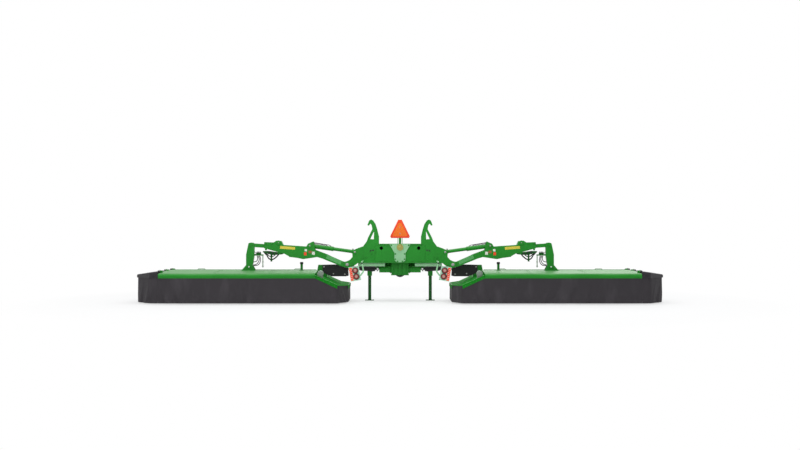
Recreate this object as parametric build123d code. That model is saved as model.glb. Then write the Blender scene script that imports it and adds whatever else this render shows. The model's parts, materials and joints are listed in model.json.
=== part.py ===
"""Rear-mounted butterfly disc mower conditioner, 9.9 m wide, booms lowered and parked.

Millimetres. +X is the machine's right, +Y the direction of travel, +Z up. The floor is z = 0.
Everything on a side is drawn for the right and mirrored for the left.
All booms, tilts and lift cylinders turn about Y, so their clearances are worked out in X-Z.
"""
import os
from math import atan2, cos, degrees, hypot, radians, sin, tan

from build123d import *

# ---------------------------------------------------------------- mower unit, one side
UNIT_REAR_Y = -1050.0
UNIT_FRONT_Y = 696.0
ROOF_INNER_X = 1560.0
ROOF_TOP_Z = 597.0
ROOF_EAVE_Z = 562.0
ROOF_FLAT_REAR_Y = -400.0
ROOF_FLAT_FRONT_Y = 200.0
SHEET = 5.0
RAIL_LOW_Z = 480.0
RAIL_PLATE = 6.0

# inner end of the unit: the sloping deck and its end piece
DECK_START_Z = 532.0
DECK_KNEE_X = 1130.0
DECK_KNEE_Z = 345.0
DECK_END_X = 965.0
DECK_LIP_Z = 272.0
DECK_SHEET = 8.0
DECK_BAR_DEPTH = 65.0
REAR_CORNER_RUN = 440.0
FRONT_CORNER_RUN = 220.0

# outer guard, hinged to the roof
GUARD_BAR_GAP = 60.0
GUARD_REACH = 480.0
GUARD_OUTER_Z = 530.0
GUARD_CORNER_RUN = 320.0
GUARD_SHEET = 8.0
GUARD_GAP = 5.0
GUARD_PIN_RISE = 18.0
GUARD_PIN_RADIUS = 6.0
GUARD_KNUCKLE_RADIUS = 12.0
GUARD_HINGE_YS = (-800.0, -200.0, 400.0)

# curtains
CURTAIN = 4.0
CURTAIN_LOW_Z = 20.0
CURTAIN_TOP_Z = 530.0
CURTAIN_GAP = 0.3
CURTAIN_INNER_X = 1005.0
CURTAIN_CORNER_X = 1150.0

# cutterbar, discs and conditioner rotor
BAR_INNER_X = 1240.0
BAR_REAR_Y = 120.0
BAR_FRONT_Y = 380.0
BAR_LOW_Z = 40.0
BAR_TOP_Z = 120.0
DISC_COUNT = 8
DISC_PITCH = 437.5
DISC_END_MARGIN = 278.75
DISC_HALF_LONG = 190.0
DISC_HALF_SHORT = 150.0
DISC_HUB_RADIUS = 60.0
DISC_LOW_Z = 150.0
DISC_THICK = 14.0
DISC_CAP_TOP_Z = 200.0
KNIFE_TIP_RADIUS = 250.0
KNIFE_WIDTH = 48.0
KNIFE_THICK = 5.0
HAT_RADIUS = 125.0
HAT_TOP_Z = 370.0
SKID_REAR_Y = -150.0
SKID_WIDTH = 300.0
SKID_THICK = 12.0
ROTOR_Y = -300.0
ROTOR_Z = 315.0
ROTOR_INNER_X = 1750.0
ROTOR_OUTER_X = 4400.0
ROTOR_DRUM_RADIUS = 105.0
ROTOR_TIP_RADIUS = 200.0
ROTOR_SHAFT_RADIUS = 40.0
TINE_ROWS = 4
TINES_PER_ROW = 16
TINE_WIDTH = 60.0
TINE_THICK = 12.0

# unit frame
END_PLATE = 12.0
END_PLATE_REAR_Y = -560.0
END_PLATE_FRONT_Y = 430.0
BEAM_REAR_Y = -10.0
BEAM_FRONT_Y = 190.0
BEAM_LOW_Z = 485.0
BEAM_OUTER_DROP = 45.0
EAR_INNER_X = 2740.0
EAR_OUTER_X = 3010.0
EAR_PLATE = 15.0
EAR_GAP = 6.0
EAR_TOP_Z = 722.0
SUBFRAME_DEPTH = 55.0
GAUGE_POST_X = 1885.0
GAUGE_POST_Y = -60.0
GAUGE_POST_TOP_Z = 742.0
GAUGE_POST_RADIUS = 24.0

# ---------------------------------------------------------------- boom and post
BOOM_Y = -250.0
BOOM_HALF_WIDTH = 80.0
BOOM_PIVOT_X = 1000.0
BOOM_PIVOT_Z = 715.0
BOOM_EYE_RADIUS = 55.0
PIVOT_PIN_RADIUS = 30.0
RUN_FIT = 0.05
BOOM_END_X = 2575.0
TUBE_CENTRE_Z = 1065.0
TUBE_SLOPE = 3.77
TUBE_DEPTH = 70.0
TUBE_WIDTH = 80.0
TUBE_FIT = 0.8
TUBE_INNER_X = 1920.0
SLIDE_IN = 140.0
SLIDE_OUT = 160.0
BOOM_WALL = 8.0
SLEEVE_KNEE = (2300.0, 946.0)
BELLY_END = (2200.0, 923.0)
CHANNEL_HALF_WIDTH = 56.0
CHANNEL_OUTER_X = 1745.0
POST_TOP_Z = 1130.0
POST_HALF_WIDTH = 60.0
POST_DEPTH = 110.0
POST_TOP_X = 2820.0
TILT_X = 2860.0
TILT_Z = 670.0
TILT_PIN_RADIUS = 25.0

# ---------------------------------------------------------------- lift cylinder
LIFT_BASE_X = 855.0
LIFT_BASE_Z = 953.0
LIFT_EYE_X = 1710.0
LIFT_EYE_Z = 1070.0
LIFT_BARREL_RADIUS = 33.0
LIFT_BARREL_LENGTH = 430.0
LIFT_ROD_RADIUS = 20.0
LIFT_ROD_FIT = 0.5
LIFT_GUARD_RADIUS = 43.0
LIFT_GUARD_WALL = 4.0
LIFT_GUARD_START = 415.0
LIFT_GUARD_END = 795.0
LIFT_EYE_RADIUS = 28.0
LIFT_EYE_WIDTH = 56.0
LIFT_PIN_RADIUS = 18.0

# ---------------------------------------------------------------- headstock
PLATE = 12.0
PLATE_GAP = 15.0
BOX_HALF_WIDTH = 435.0
BOX_LOW_Z = 757.0
BOX_TOP_Z = 1105.0
BOX_FRONT_Y = 300.0
BOX_WALL = 10.0
BOX_HOLE_X = 354.0
BOX_HOLE_Z = 1026.0
BOX_HOLE_RADIUS = 33.0
CROSS_TUBE_RADIUS = 40.0
CROSS_TUBE_INNER_X = 285.0
CROSS_TUBE_OUTER_X = 780.0
LINK_SPREAD = 965.0
LINK_Y = 1090.0
LINK_Z = 620.0
LINK_PIN_RADIUS = 18.3
LINK_SLOT = 55.0
LINK_EAR = 15.0
LINK_EAR_RADIUS = 50.0
MAST_HEIGHT = 685.0
TOP_LINK_Y = 960.0
TOP_LINK_RADIUS = 16.0
TOP_LINK_SLOT = 70.0
CROSS_BEAM_HALF = 545.0
CROSS_BEAM_REAR_Y = 240.0
CROSS_BEAM_FRONT_Y = 420.0
CROSS_BEAM_LOW_Z = 600.0

# drive line
DRIVE_Y = 50.0
DRIVE_ROOT_X = 430.0
DRIVE_ROOT_Z = 620.0
DRIVE_UNIT_X = 1450.0
DRIVE_UNIT_Z = 660.0
DRIVE_CROSS_RADIUS = 30.0
DRIVE_CROSS_HALF = 32.0
DRIVE_OUTER_TUBE = 48.0
DRIVE_INNER_TUBE = 38.0
DRIVE_FIT = 0.8
DRIVE_SLEEVE_START = 45.0
DRIVE_SLEEVE_END = 330.0
DRIVE_SHAFT_START = 250.0
DRIVE_SHAFT_END = 620.0
DRIVE_GUARD_HALF = 54.0
DRIVE_GUARD = 6.0
PTO_RADIUS = 22.2
PTO_LENGTH = 120.0

# lights, sign and parking stands
PANEL_REAR_Y = -1112.0
PANEL_THICK = 12.0
PANEL_WIDTH = 190.0
PANEL_HEIGHT = 265.0
PANEL_X = 828.0
PANEL_Z = 568.0
PANEL_LEAN = 10.5
LAMP_RADIUS = 54.0
LAMP_DEPTH = 28.0
LAMP_SPACING = 112.0
LAMP_INSET = 20.0
BRACKET_RADIUS = 14.0
SIGN_WIDTH = 376.0
SIGN_LOW_Z = 1215.0
SIGN_TOP_Z = 1565.0
SIGN_Y = -140.0
SIGN_THICK = 6.0
STAND_Y = 330.0
STAND_LEG = 60.0
STAND_SLEEVE = 90.0
STAND_FIT = 0.8
STAND_LIFT = 300.0
STAND_TOP_Z = 850.0
STAND_FOOT = 170.0
STAND_FOOT_THICK = 12.0
STAND_SLEEVE_LOW_Z = 480.0

# ---------------------------------------------------------------- worked-out places
BOOM_REAR_Y = BOOM_Y - BOOM_HALF_WIDTH
BOOM_FRONT_Y = BOOM_Y + BOOM_HALF_WIDTH
PLATE_INNER_REAR_Y = BOOM_REAR_Y - PLATE_GAP
PLATE_INNER_FRONT_Y = BOOM_FRONT_Y + PLATE_GAP
HEAD_REAR_Y = PLATE_INNER_REAR_Y - PLATE
LIFT_LENGTH = hypot(LIFT_EYE_X - LIFT_BASE_X, LIFT_EYE_Z - LIFT_BASE_Z)
LIFT_ANGLE = degrees(atan2(LIFT_EYE_Z - LIFT_BASE_Z, LIFT_EYE_X - LIFT_BASE_X))
DRIVE_ANGLE = degrees(atan2(DRIVE_UNIT_Z - DRIVE_ROOT_Z, DRIVE_UNIT_X - DRIVE_ROOT_X))
DISC_FIRST_X = BAR_INNER_X + DISC_END_MARGIN
BAR_OUTER_X = DISC_FIRST_X + DISC_PITCH * (DISC_COUNT - 1) + DISC_END_MARGIN
GUARD_OUTER_X = BAR_OUTER_X + GUARD_BAR_GAP
GUARD_CORNER_X = GUARD_OUTER_X - GUARD_CORNER_RUN
ROOF_OUTER_X = GUARD_OUTER_X - GUARD_REACH
DISC_Y = (BAR_REAR_Y + BAR_FRONT_Y) / 2.0
GUARD_INNER_X = ROOF_OUTER_X + GUARD_GAP
GUARD_HINGE_X = ROOF_OUTER_X + GUARD_KNUCKLE_RADIUS + 1.0
GUARD_HINGE_Z = ROOF_TOP_Z - 2.0 + GUARD_PIN_RISE
TOP_LINK_Z = LINK_Z + MAST_HEIGHT
STAND_X_CENTRE = CROSS_BEAM_HALF + STAND_SLEEVE / 2


def block(x_low, x_high, y_low, y_high, z_low, z_high):
    """A rectangular block between the given faces."""
    size = (x_high - x_low, y_high - y_low, z_high - z_low)
    middle = ((x_low + x_high) / 2, (y_low + y_high) / 2, (z_low + z_high) / 2)
    return Pos(*middle) * Box(*size)


def slab_xz(points, y_low, y_high):
    """A plate with its outline in X-Z, from y_low to y_high."""
    outline = Polyline(*[(x, y_low, z) for x, z in points], close=True)
    return extrude(make_face(outline), y_high - y_low, dir=(0, 1, 0))


def slab_yz(points, x_low, x_high):
    """A plate with its outline in Y-Z, from x_low to x_high."""
    outline = Polyline(*[(x_low, y, z) for y, z in points], close=True)
    return extrude(make_face(outline), x_high - x_low, dir=(1, 0, 0))


def slab_xy(points, z_low, z_high):
    """A plate with its outline in X-Y, from z_low to z_high."""
    outline = Polyline(*[(x, y, z_low) for x, y in points], close=True)
    return extrude(make_face(outline), z_high - z_low, dir=(0, 0, 1))


def bar(start, end, radius):
    """A round bar from start to end."""
    run = Vector(*end) - Vector(*start)
    return Solid.make_cylinder(radius, run.length, Plane(origin=start, z_dir=run))


def pin_y(x, z, y_low, y_high, radius):
    """A round bar along Y."""
    return bar((x, y_low, z), (x, y_high, z), radius)


def on_line(x, z, angle, along, rise=0.0):
    """The X-Z point that lies along and above a line leaving (x, z) at an angle in degrees."""
    turn = radians(angle)
    return (x + along * cos(turn) - rise * sin(turn), z + along * sin(turn) + rise * cos(turn))


def tube_line_z(x, rise=0.0):
    """Height of the telescoping tube's centre line at x, plus a rise."""
    return TUBE_CENTRE_Z + (x - BOOM_END_X) * tan(radians(TUBE_SLOPE)) + rise


def plan_outline(inner_x, outer_x, corner_inner_x, corner_outer_x, rear_y, front_y):
    """Plan outline of a unit cover with its four corners cut off."""
    return [
        (corner_inner_x, rear_y), (corner_outer_x, rear_y), (outer_x, rear_y + REAR_CORNER_RUN),
        (outer_x, front_y - FRONT_CORNER_RUN), (corner_outer_x, front_y), (corner_inner_x, front_y),
        (inner_x, front_y - FRONT_CORNER_RUN), (inner_x, rear_y + REAR_CORNER_RUN),
    ]


# ---------------------------------------------------------------- headstock pieces
def hook_plate_outline():
    """Outline of one headstock plate with its transport hook, for the right side."""
    return [
        (400, 745), (400, 1240), (434, 1380), (466, 1482), (512, 1550), (548, 1568),
        (584, 1548), (617, 1462), (595, 1450), (563, 1492), (536, 1454), (524, 1384),
        (606, 1222), (632, 1150), (700, 1058), (784, 1030), (LIFT_BASE_X - 5, LIFT_BASE_Z + 50),
        (LIFT_BASE_X + 38, LIFT_BASE_Z + 30), (LIFT_BASE_X + 48, LIFT_BASE_Z - 12),
        (900, 860), (950, 802), (BOOM_PIVOT_X + 18, BOOM_PIVOT_Z + 56),
        (BOOM_PIVOT_X + 52, BOOM_PIVOT_Z + 28), (BOOM_PIVOT_X + 58, BOOM_PIVOT_Z - 10),
        (BOOM_PIVOT_X + 30, BOOM_PIVOT_Z - 50), (BOOM_PIVOT_X - 30, BOOM_PIVOT_Z - 52),
        (870, 690), (CROSS_TUBE_OUTER_X + PLATE, 745),
    ]


def hook_plates():
    """The two plates beside one boom, the ribs between them, and the pivot and lift pins."""
    window = [(496, 1190), (566, 1196), (492, 1352)]
    boom_pin = (BOOM_PIVOT_X, BOOM_PIVOT_Z)
    lift_pin = (LIFT_BASE_X, LIFT_BASE_Z)
    box_space = block(-BOX_HALF_WIDTH, BOX_HALF_WIDTH, HEAD_REAR_Y, BOX_FRONT_Y, BOX_LOW_Z,
                      BOX_TOP_Z)
    solids = []
    for y_low in (HEAD_REAR_Y, PLATE_INNER_FRONT_Y):
        plate = slab_xz(hook_plate_outline(), y_low, y_low + PLATE) - box_space
        plate -= slab_xz(window, y_low - 1, y_low + PLATE + 1)
        plate -= pin_y(*boom_pin, y_low - 1, y_low + PLATE + 1, PIVOT_PIN_RADIUS)
        plate -= pin_y(*lift_pin, y_low - 1, y_low + PLATE + 1, LIFT_PIN_RADIUS)
        solids.append(plate)
    solids.append(block(BOX_HALF_WIDTH, BOX_HALF_WIDTH + PLATE, PLATE_INNER_REAR_Y,
                        PLATE_INNER_FRONT_Y, BOX_LOW_Z, BOX_TOP_Z))
    solids.append(block(CROSS_TUBE_OUTER_X, CROSS_TUBE_OUTER_X + PLATE, PLATE_INNER_REAR_Y,
                        PLATE_INNER_FRONT_Y, 670, 765))
    for pin, proud, radius in ((boom_pin, 14, PIVOT_PIN_RADIUS), (lift_pin, 10, LIFT_PIN_RADIUS)):
        solids.append(pin_y(*pin, HEAD_REAR_Y - proud, PLATE_INNER_FRONT_Y + PLATE + proud, radius))
    return solids


def centre_box():
    """The hollow box between the two pairs of plates, with two round hand holes behind."""
    box = block(-BOX_HALF_WIDTH, BOX_HALF_WIDTH, HEAD_REAR_Y, BOX_FRONT_Y, BOX_LOW_Z, BOX_TOP_Z)
    box -= block(-BOX_HALF_WIDTH + BOX_WALL, BOX_HALF_WIDTH - BOX_WALL, HEAD_REAR_Y + BOX_WALL,
                 BOX_FRONT_Y - BOX_WALL, BOX_LOW_Z + BOX_WALL, BOX_TOP_Z - BOX_WALL)
    for x in (-BOX_HOLE_X, BOX_HOLE_X):
        box -= pin_y(x, BOX_HOLE_Z, HEAD_REAR_Y - 1, HEAD_REAR_Y + BOX_WALL + 1, BOX_HOLE_RADIUS)
    return box


def cross_beam():
    """The square beam under the front of the box."""
    return block(-CROSS_BEAM_HALF, CROSS_BEAM_HALF, CROSS_BEAM_REAR_Y, CROSS_BEAM_FRONT_Y,
                 CROSS_BEAM_LOW_Z, BOX_LOW_Z)


def link_ears():
    """The four lower link ears in front of the cross beam, bored for the link pins."""
    outline = [
        (CROSS_BEAM_FRONT_Y, CROSS_BEAM_LOW_Z - 40), (LINK_Y, LINK_Z - LINK_EAR_RADIUS),
        (LINK_Y + LINK_EAR_RADIUS, LINK_Z - 25), (LINK_Y + LINK_EAR_RADIUS, LINK_Z + 25),
        (LINK_Y, LINK_Z + LINK_EAR_RADIUS), (CROSS_BEAM_FRONT_Y, BOX_LOW_Z),
    ]
    ears = []
    for side in (-1, 1):
        for offset in (-LINK_SLOT / 2 - LINK_EAR, LINK_SLOT / 2):
            low = side * LINK_SPREAD / 2 + offset
            bore = bar((low - 1, LINK_Y, LINK_Z), (low + LINK_EAR + 1, LINK_Y, LINK_Z),
                       LINK_PIN_RADIUS)
            ears.append(slab_yz(outline, low, low + LINK_EAR) - bore)
    return ears


def mast():
    """The two cheeks of the mast, bored for the top link pin."""
    outline = [
        (BOX_FRONT_Y - 320, BOX_TOP_Z), (TOP_LINK_Y - 40, TOP_LINK_Z + 45),
        (TOP_LINK_Y + 35, TOP_LINK_Z + 35), (TOP_LINK_Y + 45, TOP_LINK_Z - 30),
        (CROSS_BEAM_FRONT_Y, 800), (CROSS_BEAM_FRONT_Y, BOX_LOW_Z), (BOX_FRONT_Y, BOX_LOW_Z),
        (BOX_FRONT_Y, BOX_TOP_Z),
    ]
    cheeks = []
    for low in (-TOP_LINK_SLOT / 2 - LINK_EAR, TOP_LINK_SLOT / 2):
        hole = bar((low - 1, TOP_LINK_Y, TOP_LINK_Z), (low + LINK_EAR + 1, TOP_LINK_Y, TOP_LINK_Z),
                   TOP_LINK_RADIUS)
        cheeks.append(slab_yz(outline, low, low + LINK_EAR) - hole)
    return cheeks


def stand_sleeves():
    """A square sleeve at each end of the cross beam, in which a parking stand slides."""
    sleeves = []
    for side in (-1, 1):
        half = STAND_SLEEVE / 2
        bore = STAND_LEG / 2 + STAND_FIT
        centre = side * STAND_X_CENTRE
        sleeve = block(centre - half, centre + half, STAND_Y - half, STAND_Y + half,
                       STAND_SLEEVE_LOW_Z, BOX_LOW_Z)
        sleeve -= block(centre - bore, centre + bore, STAND_Y - bore, STAND_Y + bore,
                        STAND_SLEEVE_LOW_Z - 1, BOX_LOW_Z + 1)
        sleeves.append(sleeve)
    return sleeves


def hitch_frame():
    """The welded middle of the headstock, piece by piece."""
    return [centre_box(), cross_beam(), sign_post()] + link_ears() + mast() + stand_sleeves()


def cross_tubes():
    """The two round tubes that show under the plates, one each side."""
    centre_z = BOX_LOW_Z - CROSS_TUBE_RADIUS
    tubes = []
    for side in (-1, 1):
        tubes.append(bar((side * CROSS_TUBE_INNER_X, BOOM_Y, centre_z),
                         (side * CROSS_TUBE_OUTER_X, BOOM_Y, centre_z), CROSS_TUBE_RADIUS))
    return tubes


def centre_cover():
    """The pale Y-shaped cover behind the box, with a plain round cap."""
    outline = [
        (-200, 1100), (-105, 935), (-105, 795), (-55, 757), (55, 757), (105, 795),
        (105, 935), (200, 1100),
    ]
    cover = slab_xz(outline, HEAD_REAR_Y - 22, HEAD_REAR_Y)
    return cover + pin_y(0, 1040, HEAD_REAR_Y - 34, HEAD_REAR_Y - 22, 62)


def centre_gearbox():
    """The splitter gearbox under the box, its two side outputs and the drive stub in front."""
    half_width, half_depth = 165.0, 110.0
    housing = block(-half_width, half_width, DRIVE_Y - half_depth, DRIVE_Y + half_depth,
                    DRIVE_ROOT_Z - 120, BOX_LOW_Z)
    arm = bar((-DRIVE_ROOT_X + DRIVE_CROSS_RADIUS + 0.5, DRIVE_Y, DRIVE_ROOT_Z),
              (DRIVE_ROOT_X - DRIVE_CROSS_RADIUS - 0.5, DRIVE_Y, DRIVE_ROOT_Z), 70)
    stub = bar((0, DRIVE_Y, DRIVE_ROOT_Z - 60),
               (0, DRIVE_Y + half_depth + PTO_LENGTH, DRIVE_ROOT_Z - 60), PTO_RADIUS)
    return housing + arm + stub


# ---------------------------------------------------------------- lights, sign, stands
def panel_plate(side):
    """One lamp board, leaning outwards at its top."""
    plate = Box(PANEL_WIDTH, PANEL_THICK, PANEL_HEIGHT)
    place = Pos(side * PANEL_X, PANEL_REAR_Y + PANEL_THICK / 2, PANEL_Z)
    return place * Rot(0, side * PANEL_LEAN, 0) * plate


def panel_lamps(side):
    """The two round lamps on one board, one above the other."""
    lamps = []
    for rise in (-LAMP_SPACING / 2, LAMP_SPACING / 2):
        x, z = on_line(side * PANEL_X, PANEL_Z, -side * PANEL_LEAN, -side * LAMP_INSET, rise)
        lamps.append(pin_y(x, z, PANEL_REAR_Y - LAMP_DEPTH, PANEL_REAR_Y, LAMP_RADIUS))
    return lamps


def light_bracket(side):
    """The bent tube from the headstock's rear plate to the back of one lamp board."""
    tube_y = PANEL_REAR_Y + PANEL_THICK + BRACKET_RADIUS
    route = [
        (side * 700, HEAD_REAR_Y, 780), (side * 700, tube_y, 780), (side * 668, tube_y, 610),
        (side * 735, tube_y, 520), (side * 850, tube_y, 520),
    ]
    path = FilletPolyline(*route, radius=45)
    start = Plane(origin=path @ 0, z_dir=path % 0)
    return sweep(start * Circle(BRACKET_RADIUS), path=path)


def slow_sign():
    """The plain triangle on its post above the box."""
    cut = SIGN_WIDTH * 0.09
    outline = [
        (-SIGN_WIDTH / 2, SIGN_LOW_Z + cut), (-SIGN_WIDTH / 2 + cut / 2, SIGN_LOW_Z),
        (SIGN_WIDTH / 2 - cut / 2, SIGN_LOW_Z), (SIGN_WIDTH / 2, SIGN_LOW_Z + cut),
        (cut, SIGN_TOP_Z), (-cut, SIGN_TOP_Z),
    ]
    return slab_xz(outline, SIGN_Y - SIGN_THICK, SIGN_Y)


def sign_post():
    """The flat post that carries the triangle."""
    return block(-22, 22, SIGN_Y, SIGN_Y + 10, BOX_TOP_Z, SIGN_TOP_Z - 90)


def stand():
    """One parking stand: a square leg on a foot plate."""
    centre = STAND_X_CENTRE
    half = STAND_LEG / 2
    leg = block(centre - half, centre + half, STAND_Y - half, STAND_Y + half,
                STAND_FOOT_THICK, STAND_TOP_Z)
    foot = block(centre - STAND_FOOT / 2, centre + STAND_FOOT / 2, STAND_Y - STAND_FOOT / 2,
                 STAND_Y + STAND_FOOT / 2, 0, STAND_FOOT_THICK)
    return leg + foot


# ---------------------------------------------------------------- boom, post, cylinder
def boom():
    """The swan-necked boom: eye, open channel over the cylinder, sleeve for the tube."""
    top_end = tube_line_z(BOOM_END_X, TUBE_DEPTH / 2 + BOOM_WALL)
    top_mid = tube_line_z(1780, TUBE_DEPTH / 2 + BOOM_WALL)
    outline = [
        (BOOM_PIVOT_X, BOOM_PIVOT_Z + BOOM_EYE_RADIUS), (1060, 765), (1200, 815), (1380, 905),
        (1780, top_mid), (2215, tube_line_z(2215, 43)), (2250, 1160), (2345, 1166), (2395, 1132),
        (BOOM_END_X - 4, 1138), (BOOM_END_X, top_end),
        (BOOM_END_X, tube_line_z(BOOM_END_X, -TUBE_DEPTH / 2 - BOOM_WALL)),
        SLEEVE_KNEE, BELLY_END, (2110, 872), (2100, 858), (1950, 839), (1835, 815),
        (1720, 832), (1570, 855), (1470, 826), (1380, 788), (1085, 672),
        (BOOM_PIVOT_X, BOOM_PIVOT_Z - BOOM_EYE_RADIUS),
    ]
    body = slab_xz(outline, BOOM_REAR_Y, BOOM_FRONT_Y)
    body += pin_y(BOOM_PIVOT_X, BOOM_PIVOT_Z, BOOM_REAR_Y - 8, BOOM_FRONT_Y + 8, BOOM_EYE_RADIUS)
    lug = [
        (1600, 960), (1632, 1135), (1650, 1150), (LIFT_EYE_X + 22, 1112), (1790, 1040), (1790, 960),
    ]
    body += slab_xz(lug, BOOM_REAR_Y, BOOM_FRONT_Y)
    channel = [(1115, 752), (CHANNEL_OUTER_X, 1014), (CHANNEL_OUTER_X, 1220), (1115, 1220)]
    body -= slab_xz(channel, BOOM_Y - CHANNEL_HALF_WIDTH, BOOM_Y + CHANNEL_HALF_WIDTH)
    body -= pin_y(BOOM_PIVOT_X, BOOM_PIVOT_Z, BOOM_REAR_Y - 20, BOOM_FRONT_Y + 20,
                  PIVOT_PIN_RADIUS + RUN_FIT)
    start, end = TUBE_INNER_X - SLIDE_IN - 12, BOOM_END_X + 20
    half = TUBE_DEPTH / 2 + TUBE_FIT
    cavity = [
        (start, tube_line_z(start, -half)), (end, tube_line_z(end, -half)),
        (end, tube_line_z(end, half)), (start, tube_line_z(start, half)),
    ]
    side = TUBE_WIDTH / 2 + TUBE_FIT
    body -= slab_xz(cavity, BOOM_Y - side, BOOM_Y + side)
    stub = LIFT_EYE_WIDTH / 2 + 6
    for low, high in ((-CHANNEL_HALF_WIDTH - 2, -stub), (stub, CHANNEL_HALF_WIDTH + 2)):
        body += pin_y(LIFT_EYE_X, LIFT_EYE_Z, BOOM_Y + low, BOOM_Y + high, 16)
    return body


def boom_valve():
    """The valve block under the boom's outer end, with its hose elbow."""
    rear = BOOM_REAR_Y
    outline = [
        (2236, 905), BELLY_END, SLEEVE_KNEE, (2500, 972), (2598, 968), (2598, 945), (2420, 892),
    ]
    valve = slab_xz(outline, rear, rear + 70)
    bracket = slab_xz([(2236, 905), BELLY_END, SLEEVE_KNEE, (2310, 900)], rear + 70, rear + 90)
    elbow = bar((2440, rear + 35, 770), (2440, rear + 35, 905), 17)
    return valve + bracket + elbow


def slide_post():
    """The telescoping tube with the upright post and the eye that the unit hangs on."""
    tube = [
        (TUBE_INNER_X, tube_line_z(TUBE_INNER_X, -TUBE_DEPTH / 2)),
        (POST_TOP_X, tube_line_z(POST_TOP_X, -TUBE_DEPTH / 2)),
        (POST_TOP_X, tube_line_z(POST_TOP_X, TUBE_DEPTH / 2)),
        (TUBE_INNER_X, tube_line_z(TUBE_INNER_X, TUBE_DEPTH / 2)),
    ]
    body = slab_xz(tube, BOOM_Y - TUBE_WIDTH / 2, BOOM_Y + TUBE_WIDTH / 2)
    post = [
        (POST_TOP_X - 58, 1100), (POST_TOP_X - 40, POST_TOP_Z - 6), (POST_TOP_X + 12, POST_TOP_Z),
        (POST_TOP_X + 52, 1118), (POST_TOP_X + 62, 1085), (TILT_X + POST_HALF_WIDTH, 900),
        (TILT_X + POST_HALF_WIDTH, TILT_Z), (TILT_X - POST_HALF_WIDTH, TILT_Z), (2772, 850),
    ]
    low, high = BOOM_Y - POST_DEPTH / 2, BOOM_Y + POST_DEPTH / 2
    body += slab_xz(post, low, high)
    body += pin_y(TILT_X, TILT_Z, low, high, POST_HALF_WIDTH)
    body -= pin_y(TILT_X, TILT_Z, low - 1, high + 1, TILT_PIN_RADIUS + RUN_FIT)
    body += block(2600, 2790, high - 14, high, 880, 904)
    body += bar((2612, high - 7, 655), (2612, high - 7, 900), 8)
    return body


def post_hoses():
    """Two hoses from the arm beside the post down to its foot."""
    hoses = []
    for x, lean in ((2668, 0), (2692, 14)):
        route = [
            (x, BOOM_Y + POST_DEPTH / 2 - 7, 878.8), (x - 14, BOOM_Y + POST_DEPTH / 2 - 12, 800),
            (x + 4 + lean, BOOM_Y + POST_DEPTH / 2 - 17, 730), (x + 44 + lean, BOOM_Y + 30, 694 + lean),
            (TILT_X - POST_HALF_WIDTH - 13, BOOM_Y + 12 + lean, 688 + lean),
        ]
        path = FilletPolyline(*route, radius=28)
        start = Plane(origin=path @ 0, z_dir=path % 0)
        hoses.append(sweep(start * Circle(6), path=path))
    return hoses


def lift_barrel():
    """The cylinder's barrel with its base eye."""
    def at(along):
        x, z = on_line(LIFT_BASE_X, LIFT_BASE_Z, LIFT_ANGLE, along)
        return (x, BOOM_Y, z)

    half = LIFT_EYE_WIDTH / 2
    body = bar(at(25), at(LIFT_BARREL_LENGTH), LIFT_BARREL_RADIUS)
    body += pin_y(LIFT_BASE_X, LIFT_BASE_Z, BOOM_Y - half, BOOM_Y + half, 36)
    body -= pin_y(LIFT_BASE_X, LIFT_BASE_Z, BOOM_Y - half - 1, BOOM_Y + half + 1,
                  LIFT_PIN_RADIUS + RUN_FIT)
    return body - bar(at(60), at(LIFT_BARREL_LENGTH + 1), LIFT_ROD_RADIUS + LIFT_ROD_FIT)


def lift_rod():
    """The cylinder's rod, its eye, and the guard tube that covers the rod."""
    def at(along):
        x, z = on_line(LIFT_BASE_X, LIFT_BASE_Z, LIFT_ANGLE, along)
        return (x, BOOM_Y, z)

    half = LIFT_EYE_WIDTH / 2
    body = bar(at(LIFT_GUARD_START + 5), at(LIFT_LENGTH - 10), LIFT_ROD_RADIUS)
    guard = bar(at(LIFT_GUARD_START), at(LIFT_GUARD_END), LIFT_GUARD_RADIUS)
    guard -= bar(at(LIFT_GUARD_START - 1), at(LIFT_GUARD_END - 10),
                 LIFT_GUARD_RADIUS - LIFT_GUARD_WALL)
    body += guard
    body += pin_y(LIFT_EYE_X, LIFT_EYE_Z, BOOM_Y - half, BOOM_Y + half, LIFT_EYE_RADIUS)
    return body - pin_y(LIFT_EYE_X, LIFT_EYE_Z, BOOM_Y - half - 1, BOOM_Y + half + 1, 16)


# ---------------------------------------------------------------- drive line
def drive_at(along):
    """A point on the drive shaft's centre line."""
    x, z = on_line(DRIVE_ROOT_X, DRIVE_ROOT_Z, DRIVE_ANGLE, along)
    return (x, DRIVE_Y, z)


def drive_sleeve():
    """The inner half of the drive shaft: cross joint and guard sleeve."""
    cross = pin_y(DRIVE_ROOT_X, DRIVE_ROOT_Z, DRIVE_Y - DRIVE_CROSS_HALF,
                  DRIVE_Y + DRIVE_CROSS_HALF, DRIVE_CROSS_RADIUS)
    neck = bar(drive_at(0), drive_at(DRIVE_SLEEVE_START + 15), DRIVE_CROSS_RADIUS - 8)
    sleeve = bar(drive_at(DRIVE_SLEEVE_START), drive_at(DRIVE_SLEEVE_END), DRIVE_OUTER_TUBE)
    sleeve -= bar(drive_at(DRIVE_SLEEVE_START + 15), drive_at(DRIVE_SLEEVE_END + 1),
                  DRIVE_INNER_TUBE + DRIVE_FIT)
    return cross + neck + sleeve


def drive_shaft():
    """The outer half of the drive shaft, telescoping in the sleeve."""
    return bar(drive_at(DRIVE_SHAFT_START), drive_at(DRIVE_SHAFT_END), DRIVE_INNER_TUBE)


def drive_guard():
    """The two black plates beside the unit's input, open above and below the shaft."""
    outline = [
        (990, 490), (1040, 478), (1320, 478), (1400, 512), (1490, 562), (1490, 700), (1060, 708),
        (1000, 660),
    ]
    cheeks = []
    for low in (-DRIVE_GUARD_HALF - DRIVE_GUARD, DRIVE_GUARD_HALF):
        cheeks.append(slab_xz(outline, DRIVE_Y + low, DRIVE_Y + low + DRIVE_GUARD))
    return cheeks


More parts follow.
